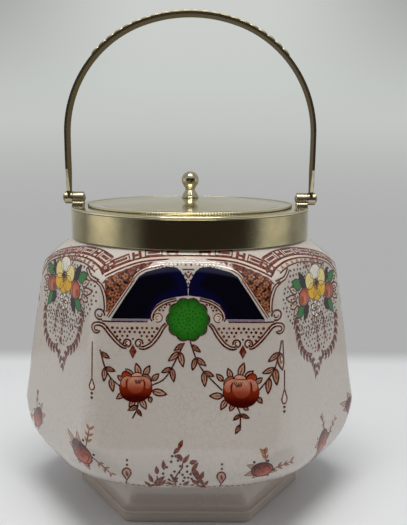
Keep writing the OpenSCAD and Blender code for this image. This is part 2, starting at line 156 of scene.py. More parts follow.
def on_glaze(k, u, v, lift):
    """Points lifted off the glaze along its normal."""
    h = 0.05
    here = on_body(k, u, v)
    normal = np.cross(on_body(k, u + h, v) - here, on_body(k, u, v + h) - here)
    normal /= np.linalg.norm(normal, axis=1, keepdims=True)
    return here + normal * np.asarray(lift)[:, None]


# ---- Meshes ----


def make_piece(name, points, faces, material, body, colours=None, sharp=None):
    """A piece that rides on a body: flat faces, or smooth ones up to the sharp angle in degrees."""
    mesh = bpy.data.meshes.new(name)
    mesh.from_pydata([tuple(p) for p in np.asarray(points, float) * MM], [], faces)
    mesh.update()
    if colours is not None:
        layer = mesh.color_attributes.new("tint", "FLOAT_COLOR", "POINT")
        layer.data.foreach_set("color", np.asarray(colours, np.float32).ravel())
    mesh.polygons.foreach_set("use_smooth", [sharp is not None] * len(mesh.polygons))
    if sharp is not None:
        mesh.set_sharp_from_angle(angle=radians(sharp))
    mesh.materials.append(material)
    piece = bpy.data.objects.new(name, mesh)
    bpy.context.scene.collection.objects.link(piece)
    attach(piece, body)
    return piece


def loft_faces(rings, n):
    """Quads between rings of n points, closed by a fan at each end."""
    faces = []
    for i in range(rings - 1):
        for j in range(n):
            a, b = i * n + j, i * n + (j + 1) % n
            faces.append((a, b, b + n, a + n))
    low, high, last = rings * n, rings * n + 1, (rings - 1) * n
    for j in range(n):
        faces.append((low, (j + 1) % n, j))
        faces.append((high, last + j, last + (j + 1) % n))
    return faces


# ---- Glazed body, with the same section as the solid and more points ----

HALF_SIDE = 26                   # points from the middle of a face to a corner
FOOT_APOTHEM, FOOT_R, FOOT_SIDE, FOOT_RING = 50.6, 6.0, 5.0, 7.0
COVE_APOTHEM, COVE_TOP, RECESS = 46.6, 17.0, 12.0
NECK_R, MOUTH_R, NECK_TOP, NECK_EDGE = 56.5, 51.5, 144.5, 0.8
FOOT_EDGE, LEDGE = 0.9, 0.8
FLOOR_Z = RECESS + WALL + 3
UNDER_STEPS, COVE_STEPS, LEDGE_STEPS, INNER_STEPS = 40, 12, 8, 8


def ring_angles():
    """Angles round the jar, crowded towards the corners."""
    spread = TURN / 2 * (1 - (1 - np.arange(HALF_SIDE + 1) / HALF_SIDE) ** 2)
    half = np.append(spread[:-1], TURN - spread[:0:-1])
    return np.concatenate([half + TURN * k for k in range(6)])


RING = ring_angles()


def ring_at(r, z):
    t = RING - pi / 2
    return np.stack([r * np.cos(t), r * np.sin(t), np.full_like(t, z)], -1)


def body_ring(z, inset=0.0):
    return ring_at(body_radius(np.full_like(RING, z), off_middle(RING), inset), z)


def plain_ring(flat, r, z):
    return ring_at(hex_radius(flat, r, off_middle(RING)), z)


def foot_rings():
    """From the recess round the resting ring, up the foot's side and its ledge to the top of the hollow."""
    foot_in = FOOT_APOTHEM - FOOT_RING
    sizes = [(foot_in - 2, RECESS), (foot_in - 0.6, RECESS / 3)]
    for side, start in ((foot_in + FOOT_EDGE, 180), (FOOT_APOTHEM - FOOT_EDGE, 90)):
        for i in range(5):
            a = radians(start - 22.5 * i)
            sizes.append((side + FOOT_EDGE * cos(a), FOOT_EDGE * (1 - sin(a))))
    sizes.append((FOOT_APOTHEM, FOOT_SIDE - LEDGE))
    for i in range(1, LEDGE_STEPS):
        a = pi * i / LEDGE_STEPS
        sizes.append((FOOT_APOTHEM + LEDGE / 2 * sin(a), FOOT_SIDE - LEDGE * cos(a)))
    low = FOOT_SIDE + LEDGE
    for t in np.linspace(0, 1, COVE_STEPS):
        flat = COVE_APOTHEM + (FOOT_APOTHEM - min(1, t * 9) - COVE_APOTHEM) * (1 - t) ** 2
        sizes.append((flat, low + t * (COVE_TOP - low)))
    return [plain_ring(flat, FOOT_R, z) for flat, z in sizes]


def outer_rings():
    """From the hollow over the underside and the faces to the neck and its mouth."""
    rings = [plain_ring(COVE_APOTHEM + 1, (FOOT_R + COVE_APOTHEM) / 3, UNDER_Z - 2.4)]
    for i in range(UNDER_STEPS):
        share = cos(pi / 2 * (i + 1) / UNDER_STEPS)
        rings.append(body_ring(BELLY_Z - (BELLY_Z - UNDER_Z) * share))
    heights = [*np.arange(BELLY_Z + 0.6, BELLY_Z + TURN_H, 0.6), *np.arange(48, 100, 4)]
    rings += [body_ring(z) for z in [*heights, *np.arange(100, SHOULDER_TOP + 1.8, 0.55)]]
    turn_z = SHOULDER_TOP + (SHOULDER_R - NECK_R) / SHOULDER_RUN
    edge_z = NECK_TOP - NECK_EDGE
    return rings + [plain_ring(flat, r, z) for flat, r, z in (
        (NECK_R, NECK_R, turn_z), (NECK_R, NECK_R, edge_z), (NECK_R - NECK_EDGE, NECK_R, NECK_TOP),
        (MOUTH_R + NECK_EDGE, MOUTH_R + NECK_EDGE, NECK_TOP), (MOUTH_R, MOUTH_R, edge_z),
        (MOUTH_R, MOUTH_R, SHOULDER_TOP - WALL + 1))]


def inner_rings():
    """From the shoulder down the inside to the floor."""
    low, level = BELLY_Z - 6, UNDER_Z + WALL + 0.4
    heights = [*np.arange(SHOULDER_TOP - WALL - 4, 104, -1.5), *np.arange(100, 46, -6), BELLY_Z + TURN_H]
    rings = [body_ring(z, WALL) for z in [*heights, BELLY_Z - 1, low]]
    side = float(apothem(np.array(low))) - WALL
    for t in np.linspace(0.15, 1, INNER_STEPS):
        flat = side - (side - UNDER_APOTHEM) * (1 - cos(pi / 2 * t))
        rings.append(plain_ring(flat, UNDER_CORNER_R / 2, low - (low - level) * sin(pi / 2 * t)))
    rings.append(plain_ring(COVE_APOTHEM - WALL, COVE_APOTHEM / 3, level - 1.5))
    return rings + [plain_ring(COVE_APOTHEM - WALL - 4, COVE_APOTHEM / 3, FLOOR_Z)]


# ---- Ornament: closed slabs of colour on the glaze ----

FIELD_LIFT, FILL_LIFT, LINE_LIFT, ENAMEL_LIFT = 0.015, 0.03, 0.055, 0.08
EDGE, LEAF_EDGE, LEAF_RIB = 0.015, 0.02, 0.025   # heights of outlines and ribs over their fill
SINK = 0.05
STEP, LEAF_STEP = 0.9, 1.2       # longest edge on the curved parts and in leaves
PEN, FINE_PEN = 0.66, 0.52       # widths of the two common lines


class Ornament:
    """Strokes, fills and dots in face coordinates (x, v), drawn at every place (face, centre, side, rise).

    A side of -1 draws the mirror image, and x is measured from the centre. The rise may be left out.
    The lift is the height over the glaze in millimetres: what lies on something else has a greater one.
    """

    def __init__(self):
        self.spots, self.tints, self.faces = [], [], []

    def slab(self, places, top, faces, rims, lift, tint):
        """A closed slab from the faces of its top and the edges of its rim, with one tint or one a point."""
        n = len(top)
        tints = tint if isinstance(tint, list) else [tint] * n
        closed = [tuple(f) for f in faces] + [tuple(i + n for i in reversed(f)) for f in faces]
        closed += [(b, a, a + n, b + n) for a, b in rims]
        for k, centre, side, *rise in places:
            base = len(self.spots)
            for height in (lift, -SINK):
                self.spots += [(k, centre + side * x, v + sum(rise), height) for x, v in top]
            self.tints += tints + tints
            self.faces += [tuple(i + base for i in f[::side]) for f in closed]

    def dot(self, places, x, v, r, tint, lift=LINE_LIFT, sides=6, wide=1.0):
        rims = [(i, (i + 1) % sides) for i in range(sides)]
        self.slab(places, oval(x, v, wide * r, r, n=sides), [tuple(range(sides))], rims, lift, tint)

    def stroke(self, places, points, width, tint, lift=LINE_LIFT, closed=False, taper=0.0):
        """A line of even width, or one that narrows to its ends by the share taper."""
        pts = resample(points, STEP, closed)
        n = len(pts)
        left, right = [], []
        for i, (x, v) in enumerate(pts):
            p = pts[(i - 1) % n] if closed or i > 0 else pts[i]
            q = pts[(i + 1) % n] if closed or i < n - 1 else pts[i]
            dx, dv = q[0] - p[0], q[1] - p[1]
            d = hypot(dx, dv) or 1
            w = width / 2 * (1 - taper * abs(2 * i / (n - 1) - 1) ** 2)
            left.append((x - dv / d * w, v + dx / d * w))
            right.append((x + dv / d * w, v - dx / d * w))
        last = n if closed else n - 1
        faces = [(n + i, n + (i + 1) % n, (i + 1) % n, i) for i in range(last)]
        rims = [(n + i, n + (i + 1) % n) for i in range(last)] + [((i + 1) % n, i) for i in range(last)]
        if not closed:
            rims += [(2 * n - 1, n - 1), (0, n)]
        self.slab(places, left + right, faces, rims, lift, tint)

    def fill(self, places, outline, tint, lift=FILL_LIFT, step=STEP):
        """A filled outline. The tint is a colour, or a function of x and v that gives one."""
        edge = resample(outline, step, True)
        if area(edge) < 0:
            edge.reverse()
        (x0, v0), (x1, v1) = limits(edge)
        grid = [(x0 + i * step, v0 + (j + 0.5 * (i % 2)) * step)
                for i in range(1, int((x1 - x0) / step) + 1) for j in range(1, int((v1 - v0) / step) + 1)]
        points = [Vector(p) for p in edge + [p for p in grid if inside(p, edge, step * 0.45)]]
        found = delaunay_2d_cdt(points, [], [list(range(len(edge)))], 1, 1e-5)
        top, faces = [tuple(p) for p in found[0]], [tuple(f) for f in found[2]]
        ways = {(f[i], f[(i + 1) % len(f)]) for f in faces for i in range(len(f))}
        rims = [(a, b) for a, b in sorted(ways) if (b, a) not in ways]
        self.slab(places, top, faces, rims, lift, [tint(*p) for p in top] if callable(tint) else tint)

    def shape(self, places, outline, tint, lift, pen, line, edge=EDGE, step=STEP):
        """A filled outline with a line round it."""
        self.fill(places, outline, tint, lift, step)
        self.stroke(places, outline, pen, line, lift + edge, closed=True)

    def ribbon(self, places, points, width, pen=PEN, taper=0.0):
        """A pale band between two lines."""
        self.stroke(places, points, width, RIBBON, FILL_LIFT, taper=taper)
        for side in (-1, 1):
            self.stroke(places, beside(points, side * width / 2, taper), pen, LINE)

    def stipple(self, places, outline, pitch, r, margin, wide=1.0, stray=0.15):
        """Rows of dots, each set half a pitch off the last, inside an outline."""
        (x0, v), (x1, v1) = limits(outline)
        row = 0
        while v < v1:
            x = x0 + (row % 2) * wide * pitch / 2
            while x < x1:
                p = (x + wide * rng.uniform(-stray, stray), v + rng.uniform(-stray, stray))
                if inside(p, outline, margin):
                    self.dot(places, *p, r * rng.uniform(0.85, 1.15), LINE, wide=wide)
                x += wide * pitch
            v += pitch * 0.8
            row += 1

    def leaf(self, places, x, v, angle, length, width, ground, line=None, lift=LINE_LIFT):
        """A pointed oval from its stalk at (x, v), with an outline and a rib if it has a line."""
        outline = leaf_outline(x, v, angle, length, width)
        if line is None:
            self.fill(places, outline, ground, lift, LEAF_STEP)
            return
        self.shape(places, outline, ground, lift, 0.26, line, LEAF_EDGE, LEAF_STEP)
        rib = turned([(0, 0), (0.7 * length, 0)], x, v, angle)
        self.stroke(places, rib, 0.24, line, lift + LEAF_RIB, taper=0.3)

    def piece(self, name, material):
        """All that was drawn, as one piece on the jar."""
        points = on_glaze(*np.array(self.spots, float).T)
        tints = [(*t, 1.0) for t in self.tints]
        return make_piece(name, points, self.faces, material, "jar", tints)


def area(points):
    """Signed area, above zero for an outline that runs counterclockwise."""
    return sum(p[0] * q[1] - q[0] * p[1] for p, q in zip(points, points[1:] + points[:1])) / 2


def limits(points):
    """Lowest and highest corner of the box about the points."""
    return [tuple(pick(p[i] for p in points) for i in (0, 1)) for pick in (min, max)]


def edge_distance(p, outline):
    """Distance from p to the nearest side of an outline."""
    near = inf
    for (x0, v0), (x1, v1) in zip(outline, outline[1:] + outline[:1]):
        d2 = (x1 - x0) ** 2 + (v1 - v0) ** 2
        t = max(0, min(1, ((p[0] - x0) * (x1 - x0) + (p[1] - v0) * (v1 - v0)) / (d2 or 1)))
        near = min(near, hypot(p[0] - x0 - t * (x1 - x0), p[1] - v0 - t * (v1 - v0)))
    return near


def inside(p, outline, margin):
    """Whether p lies inside an outline and no nearer to it than the margin."""
    hit = False
    for (x0, v0), (x1, v1) in zip(outline, outline[1:] + outline[:1]):
        if (v0 > p[1]) != (v1 > p[1]) and p[0] < x0 + (p[1] - v0) / (v1 - v0) * (x1 - x0):
            hit = not hit
    return hit and edge_distance(p, outline) >= margin


def resample(points, step, closed=False):
    """The same line with points no further apart than the step."""
    out = []
    for p, q in zip(points, points[1:] + (points[:1] if closed else [])):
        n = max(1, ceil(dist(p, q) / step))
        out += [(p[0] + (q[0] - p[0]) * i / n, p[1] + (q[1] - p[1]) * i / n) for i in range(n)]
    return out if closed else out + [points[-1]]


def curve(points, closed=False, steps=6):
    """A smooth line through the points."""
    n = len(points)
    out = []
    for i in range(n if closed else n - 1):
        four = [points[(i + j) % n if closed else max(0, min(n - 1, i + j))] for j in (-1, 0, 1, 2)]
        for t in (s / steps for s in range(steps)):
            out.append(tuple(
                0.5 * (2 * b + (c - a) * t + (2 * a - 5 * b + 4 * c - d) * t**2
                       + (3 * b - a - 3 * c + d) * t**3)
                for a, b, c, d in zip(*four)))
    return out if closed else out + [points[-1]]


def beside(points, off, taper=0.0):
    """The line at a distance to the left of another, drawing in to its ends by the taper."""
    out = []
    n = len(points)
    for i, (x, v) in enumerate(points):
        p, q = points[max(0, i - 1)], points[min(n - 1, i + 1)]
        d = dist(p, q) or 1
        w = off * (1 - taper * abs(2 * i / (n - 1) - 1) ** 2)
        out.append((x - (q[1] - p[1]) / d * w, v + (q[0] - p[0]) / d * w))
    return out


def turned(points, x, v, angle):
    """Points turned by an angle in degrees and moved to (x, v)."""
    c, s = cos(radians(angle)), sin(radians(angle))
    return [(x + p * c - q * s, v + p * s + q * c) for p, q in points]


def polar(x, v, rx, rv, a):
    """The point of an upright oval about (x, v) at the angle a in radians."""
    return x + rx * cos(a), v + rv * sin(a)


def spiral(x, v, r0, r1, start, turn, steps=20):
    """A scroll about (x, v), from radius r0 at the start angle to r1 after the turn, in degrees."""
    out = []
    for t in (i / steps for i in range(steps + 1)):
        r = r0 + (r1 - r0) * t
        out.append(polar(x, v, r, r, radians(start + turn * t)))
    return out


def oval(x, v, rx, rv, tilt=0.0, n=20):
    """An oval about (x, v) with half axes rx and rv, tilted in degrees."""
    return turned([polar(0, 0, rx, rv, 2 * pi * i / n) for i in range(n)], x, v, tilt)


def leaf_outline(x, v, angle, length, width, n=6):
    """A pointed oval, broadest before its middle, from its stalk at (x, v)."""
    side = [(length * i / n, width / 2 * sin(pi * (i / n) ** 0.8)) for i in range(n + 1)]
    return turned(side + [(p, -q) for p, q in side[-2:0:-1]], x, v, angle)


def reach(x, v, tip_x, tip_v):
    """Place, angle in degrees and length of what grows from (x, v) to its tip."""
    return x, v, degrees(atan2(tip_v - v, tip_x - x)), dist((x, v), (tip_x, tip_v))


def length_of(points):
    return sum(dist(p, q) for p, q in zip(points, points[1:]))


def along(points, share):
    """Place and direction in degrees at a share of a line's length."""
    left = share * length_of(points)
    for p, q in zip(points, points[1:]):
        d = dist(p, q)
        if left <= d:
            break
        left -= d
    t = left / (d or 1)
    return p[0] + (q[0] - p[0]) * t, p[1] + (q[1] - p[1]) * t, reach(*p, *q)[2]


def mix(a, b, t):
    t = max(0.0, min(1.0, t))
    return tuple(p + (q - p) * t for p, q in zip(a, b))


LINE = srgb(70, 12, 2)
DARK_LINE = srgb(34, 6, 4)
PETAL_LINE = srgb(128, 84, 30)
RIBBON = srgb(214, 188, 174)
FIELD = srgb(190, 173, 162)
PINK = srgb(178, 136, 114)
ROSE = srgb(152, 96, 66)
FLORET = srgb(158, 102, 70)
RUST = srgb(150, 62, 50)
BROWN = srgb(100, 32, 10)
UMBER = srgb(116, 52, 24)
RIM_BROWN = srgb(60, 24, 14)
LILAC = srgb(120, 104, 140)
NAVY = srgb(2, 2, 16)
NAVY_EDGE = srgb(5, 5, 48)
GREEN = srgb(48, 128, 34)
GREEN_DEEP = srgb(22, 84, 18)
LEAF_GREEN = srgb(36, 122, 58)
ORANGE = srgb(156, 48, 14)
RED = srgb(66, 2, 0)
BLUSH = srgb(220, 160, 132)
BLOOM_LIGHT = srgb(190, 100, 78)
BLOOM_DARK = srgb(84, 14, 12)
FRUIT = srgb(214, 84, 46)
PALE = srgb(240, 236, 226)
CREAM = srgb(242, 226, 150)
YELLOW = srgb(238, 186, 14)

ink = Ornament()
enamel = Ornament()


def key_band(places, path, cells):
    """Bars in frames, dark squares and pairs of posts, each on a line from one length to another."""
    for kind, start, end in cells:
        place = along(path, (start + end) / 2 / length_of(path))
        half = (end - start) / 2

        def box(p, low, high, place=place):
            return turned([(-p, low), (p, low), (p, high), (-p, high)], *place)

        if kind == "bar":
            ink.stroke(places, box(half, 1.0, 3.3), PEN, BROWN, closed=True)
            ink.fill(places, box(half - 1.0, 1.75, 2.65), BROWN, LINE_LIFT)
        elif kind == "square":
            ink.fill(places, box(half, 0.8, 3.2), BROWN)
            ink.fill(places, box(0.55, 1.6, 2.6), RIBBON, LINE_LIFT)
        else:
            for p in (-half + 0.5, half - 0.5):
                ink.stroke(places, turned([(p, 0.9), (p, 3.4)], *place), 1.3, BROWN)
            ink.fill(places, box(half, 1.7, 2.6), BROWN)


def leaf_to(places, x, v, tip_x, tip_v, width, ground):
    """A printed leaf from its stalk to its tip, with an outline and a rib."""
    outline = leaf_outline(*reach(x, v, tip_x, tip_v), width)
    ink.shape(places, outline, ground, FILL_LIFT, 0.7, LINE, LEAF_EDGE, LEAF_STEP)
    rib = [(x, v), (x + 0.62 * (tip_x - x), v + 0.62 * (tip_v - v))]
    ink.stroke(places, rib, 0.4, LINE, FILL_LIFT + LEAF_RIB, taper=0.3)


def bulb_end(places, x, v, r, start, turn, pen=0.8):
    """The round end of a scroll: a pale disc in an open ring, with a shorter ring inside."""
    ink.dot(places, x, v, r, RIBBON, FILL_LIFT, 14)
    ink.stroke(places, spiral(x, v, r, r, start, turn), pen, LINE)
    ink.stroke(places, spiral(x, v, 0.42 * r, 0.5 * r, start + 0.6 * turn, turn * 0.7), 0.7 * pen, LINE, 0.06)


def bud(places, x, v, half, tint, pen):
    """A closed drop from the points of its one side, which run from (x, v) to the other end."""
    outline = [(x + p, v + q) for p, q in half + [(-p, q) for p, q in half[-2:0:-1]]]
    ink.fill(places, outline, tint)
    ink.stroke(places, curve(outline, True, 3), pen, LINE, closed=True)


def drop(places, x, v0, v1, long):
    """A fine line with a teardrop and two dots at its end."""
    ink.stroke(places, [(x, v0), (x, v1)], 0.6, LINE)
    half = [(p, -long * share) for p, share in ((0, 0), (0.7, 0.35), (1.25, 0.7), (0.7, 0.95), (0, 1))]
    bud(places, x, v1, half, RIBBON, 0.6)
    for gap in (1.5, 3.4):
        ink.dot(places, x, v1 - long - gap, 0.66, LINE, sides=8)


PEONY_PETALS = (
    ([(-7.4, 3.2), (-7.0, 5.4), (-5.2, 6.9), (-3.0, 6.6), (-3.2, 4.6), (-5.6, 3.6)], ROSE),
    ([(2.0, 5.0), (2.8, 7.2), (5.0, 8.4), (6.6, 7.6), (6.6, 5.4), (4.4, 4.6)], ORANGE),
    ([(-3.4, 5.4), (-2.6, 7.2), (-0.6, 7.9), (1.6, 7.2), (2.4, 5.6), (-0.4, 5.0)], BLUSH),
)
PEONY_BOWL = [(-7.8, 0.8), (-7.2, 3.6), (-5.4, 5.6), (-3.0, 6.1), (-0.6, 5.9), (2.2, 5.9), (4.6, 6.1),
              (6.8, 4.6), (7.9, 1.0), (7.6, -1.6), (6.0, -4.4), (3.4, -5.9), (0.0, -6.4), (-3.6, -5.6),
              (-6.3, -3.6), (-7.6, -1.2)]


def peony(place, v, size):
    """A full-blown flower about x = 0, shaded from a pale and orange top to a dark red base."""
    def at(points):
        return [(p * size, v + q * size) for p, q in points]

    def shade(p, q):
        up, off = (q - v) / size, abs(p) / size
        warm = mix(RED, ORANGE, (up + 4.0) / 6.4)
        return mix(warm, BLUSH, (up - 2.0) / 6 + 0.02 * off)

    def petal_shade(tint):
        return lambda p, q: mix(tint, shade(p, q), 0.9 - (q - v) / size / 8)

    def cup_shade(p, q):
        return mix(shade(p, q + 1.4 * size), BLUSH, 0.1 + 0.03 * (q - v) / size)

    for outline, tint in PEONY_PETALS:
        enamel.shape(place, curve(at(outline), True, 4), petal_shade(tint), 0.06, 0.42, DARK_LINE)
    enamel.shape(place, curve(at(PEONY_BOWL), True, 4), shade, 0.085, 0.3, RED, step=0.7)
    for x, q, rx, rv in ((-5.6, 2.6, 1.5, 2.5), (5.9, 3.0, 1.2, 2.3)):
        petal = oval(x * size, v + q * size, rx * size, rv * size)
        enamel.fill(place, petal, lambda p, w: mix(shade(p, w), BLUSH, 0.3), 0.1)
    cup = oval(0.2 * size, v + 1.5 * size, 3.9 * size, 4.0 * size)
    enamel.fill(place, cup, cup_shade, 0.11, step=0.7)
    for fold in ([(3.9, 4.9), (4.6, 3.2), (4.5, 0.4)], [(-3.4, 4.6), (-4.3, 2.6), (-3.9, 0.2)]):
        enamel.stroke(place, curve(at(fold)), 0.75 * size, mix(RED, ORANGE, 0.3), 0.125, taper=0.8)
    for x in (-2.6, -1.7, -0.9, -0.1, 0.7):
        stamen = at([(x * 1.1 - 0.2, 4.6), (x * 0.5 - 0.5, 2.4)])
        enamel.stroke(place, stamen, 0.42, DARK_LINE, 0.13, taper=0.5)


def sprig(places, x, v, angle, length, leaves, bend, tint):
    """A stalk that bends as it grows, with leaves on both its sides."""
    stem = [(x, v)]
    for _ in range(6):
        stem += turned([(length / 6, 0)], *stem[-1], angle)
        angle += bend / 6
    ink.stroke(places, stem, FINE_PEN, LINE, taper=0.3)
    for i in range(leaves):
        x, v, heading = along(stem, (i + 1) / leaves)
        for side in (-1, 1):
            size = rng.uniform(2.2, 3.2)
            ink.leaf(places, x, v, heading + side * rng.uniform(30, 55), size, size * 0.38, tint)


def low_flower(places, x, v, size, tilt):
    """A rust flower low on the body, with leaves, twigs and buds."""
    c, s = cos(radians(tilt)), sin(radians(tilt))

    def at(p, q):
        return x + (p * c - q * s) * size, v + (p * s + q * c) * size

    def shade(p, q):
        return mix(BLOOM_DARK, BLOOM_LIGHT, 0.5 - (q - v) / (5.4 * size) + (p - x) / (14 * size))

    for angle, long in ((150, 6.6), (188, 7.6), (-24, 6.6), (214, 5.4), (-62, 4.6)):
        ink.leaf(places, x, v, tilt + angle, long * size, 2.4 * size, PINK, LINE, FILL_LIFT)
    bloom = oval(x, v, 4.3 * size, 3.1 * size, tilt)
    enamel.shape(places, bloom, shade, 0.06, FINE_PEN, LINE, LEAF_EDGE)
    for side in (-1, 1):
        fold = [at(side * 3.4, -1.2), at(side * 2.4, 1.6), at(side * 0.4, 0.6)]
        enamel.stroke(places, curve(fold), 0.42, DARK_LINE, 0.085, taper=0.5)
    enamel.dot(places, x + 0.4 * size, v - 0.8 * size, 0.7 * size, RUST, 0.09, 8)
    sprig(places, x + 1.6 * size, v + 2.6 * size, 92 + tilt * 0.4, 6.2 * size, 3, 8, ROSE)
    sprig(places, x + 3.8 * size, v - 0.4, tilt + 4, 8 * size, 3, -8, ROSE)
    for p, q in ((-2.6, 3.9), (2.9, 3.4), (4.6, -1.6)):
        ink.dot(places, *at(p, q), 0.66, LINE)


def low_edge(places, start, count):
    """Worn specks of the print along the belly's edge."""
    spots = [(start + 2.6 * i, 28.6 + rng.uniform(-0.7, 0.9)) for i in range(count)]
    for x, v in spots:
        turn, length = rng.uniform(-25, 25), rng.uniform(1.2, 2.8)
        ink.leaf(places, x, v, turn, length, 0.9, mix(ROSE, BROWN, rng.random()))


# ---- Pattern of the front face and every second one ----

A_FACES = (0, 2, 4)
A_CENTRE = 0.5
A_PLAIN = [(k, 0.0, 1) for k in A_FACES]
A_WHOLE = [(k, A_CENTRE, 1) for k in A_FACES]
A_BOTH = [(k, A_CENTRE, s) for k in A_FACES for s in (1, -1)]

WING = [(0.12, 113.9), (5.5, 113.2), (10.5, 111.9), (13.6, 110), (15.8, 107.2), (16.6, 103.7),
        (33.4, 103.7), (27.6, 112.8), (23.6, 118.6), (21.4, 121.9), (18.4, 123.8), (14, 125.0), (9, 126.1),
        (5, 125.7), (3.2, 124.2), (1.2, 120.8), (0.3, 118.4)]
WING_EDGE = [(35.0, 104.4), (29.4, 112.6), (25.2, 118.8), (22.8, 122.6), (19.2, 124.9), (14.4, 126.2),
             (9, 127.2)]
SPANDREL = [(15, 127.4), (22.5, 126.4), (30, 123.4), (36.6, 119.4), (35.6, 112.4), (35.4, 107.2),
            (34.4, 105.9), (29.9, 112.6), (25.7, 118.9), (23.2, 122.8), (19.4, 125.4)]


def pattern_a_top():
    rim = curve([(0, 129.7), (7.5, 129.6), (14, 129.2), (19.5, 128.5), (24, 127.4), (28, 126),
                 (31.5, 124.6), (34.5, 123.2), (37, 121.9)])
    ink.ribbon(A_BOTH, rim, 1.4, 0.64)
    key_band(A_BOTH, rim, [("pair", 4.6, 9.6), ("bar", 11.6, 19.0), ("pair", 20.6, 24.6), ("bar", 25.8, 34.6),
                           ("square", 35.4, 38.8)])
    ink.ribbon(A_BOTH, curve([(0, 127.9), (9, 127.8), (15, 127.2)]), 0.7, 0.4)
    # Brown blades under the ribbon, then the dots over the wings
    for i in range(6):
        x, v, heading = along(rim, 0.4 + i * 0.1)
        ink.leaf(A_BOTH, x - 1.5, v - 1.6, heading - 7, 7.0, 1.7, BROWN, lift=0.05)
    for i in range(9):
        ink.dot(A_BOTH, 1.2 + 1.8 * i, 126.9 + 0.25 * (i % 2), 0.46, LINE)
        if i > 2:
            ink.dot(A_BOTH, 1.6 + 1.6 * i, 125.6 + 0.3 * (i % 2), 0.44, LINE)
    # The small arrow and dots in the notch between the wings
    for side in (-1, 1):
        ink.stroke(A_WHOLE, [(0, 121.4), (side * 1.5, 123.7)], 0.7, BROWN)
    ink.stroke(A_WHOLE, [(-2.6, 125), (2.6, 125)], FINE_PEN, LINE)
    for x, v in ((-1.9, 122.6), (1.9, 122.6), (-0.9, 120.6), (0.9, 120.4), (0, 119), (0, 123.9), (0, 117.4)):
        ink.dot(A_WHOLE, x, v, 0.46, LINE)


def pattern_a_wings():
    def blue(p, q):
        return mix(NAVY_EDGE, NAVY, edge_distance((p, q), WING) / 2.6 + 0.1 * (p - 16))

    enamel.fill(A_BOTH, WING, blue, ENAMEL_LIFT)
    ink.ribbon(A_BOTH, curve(WING_EDGE), 0.9, 0.44)
    ink.stroke(A_BOTH, [(17.2, 103.2), (33.4, 103.2)], 0.4, LILAC)
    # The diaper: crossing dark lines on brown, with a floret here and there
    ink.fill(A_BOTH, SPANDREL, UMBER)
    for i in range(-4, 9):
        for slope, start in ((1, 104 + i * 4.3), (-1, 152 - i * 4.3)):
            line = [(15 + t, start + slope * t * 0.9) for t in range(24)]
            run = [p for p in resample(line, 0.5) if inside(p, SPANDREL, 0.2)]
            if len(run) > 1:
                ink.stroke(A_BOTH, run, 0.85, DARK_LINE, 0.05)
    for x, v in ((24.5, 120.4), (27.7, 117.6), (29.6, 119.6), (31.6, 120.9), (31.2, 116.4), (33.8, 118.4),
                 (30.8, 113.6), (33.4, 114.4), (34, 110.2), (32.6, 110.8), (34.4, 107.6), (27.4, 121.8)):
        for spot in oval(x, v, 0.9, 0.9, n=5):
            ink.dot(A_BOTH, *spot, 0.5, FLORET, 0.075)
        ink.dot(A_BOTH, x, v, 0.3, BROWN, 0.09)


def pattern_a_scrolls():
    side_line = curve([(40.6, 119), (38, 117.2), (36.4, 113.4), (35.9, 109.4), (36.1, 106.6)])
    ink.ribbon(A_BOTH, side_line, 1.3, taper=0.3)
    bulb_end(A_BOTH, 38.6, 105.2, 2.2, -170, -310)
    ink.stroke(A_BOTH, [(17.6, 102.5), (37.6, 102.5)], PEN, LINE)
    # The lower scroll, from a hook at the corner to a curl beside the diamond
    hook = spiral(40, 98.9, 0.9, 2.0, -200, 280)
    fall = curve([(38.9, 101.2), (36.6, 100.4), (33.8, 97.2), (31, 94), (28.4, 91.8), (26.6, 91.4)])
    ink.ribbon(A_BOTH, hook[3:] + fall, 1.3, 0.8, 0.3)
    bulb_end(A_BOTH, 26.4, 93.2, 1.6, -90, -290)
    rise = curve([(21.2, 91.4), (19.0, 91.2), (16, 92.8), (13, 96.4), (11, 99.8), (9.4, 101.6)])
    ink.ribbon(A_BOTH, rise, 1.3, 0.8, 0.3)
    bulb_end(A_BOTH, 21.2, 93.2, 1.6, -90, 290)
    field = [(12.6, 101.9), (38, 101.9), (36.2, 99.4), (33.2, 96.2), (30.4, 93.2), (28.4, 93), (27.6, 95),
             (24, 96.2), (20.2, 95.2), (18.8, 92.8), (16.4, 93.8), (13.8, 96.8), (11.4, 100.2)]
    ink.fill(A_BOTH, field, FIELD, FIELD_LIFT)
    ink.stipple(A_BOTH, field, 2.15, 0.64, 0.75)
    ink.fill(A_BOTH, [(22.2, 89.6), (23.9, 92.8), (25.6, 89.6), (23.9, 86.4)], BROWN, LINE_LIFT)
    ink.dot(A_BOTH, 23.9, 95, 0.55, LINE, sides=8)
    # The arch about the rosette, with its own dotted field
    arch = curve([(5, 112.2), (9.4, 111), (13, 109), (15.2, 106.6), (15.8, 104.2), (15.2, 102.9)])
    ink.ribbon(A_BOTH, arch, 1.1, taper=0.2)
    bulb_end(A_BOTH, 13.1, 104.2, 1.9, -60, -300, 0.42)
    under_arch = [(4.4, 112), (9, 110.8), (12.4, 109), (14.6, 106.6), (10.9, 106.2), (10.6, 104),
                  (10, 107.6), (6.8, 110.4)]
    ink.fill(A_BOTH, under_arch, FIELD, FIELD_LIFT)
    ink.stipple(A_BOTH, under_arch, 1.45, 0.55, 0.25)


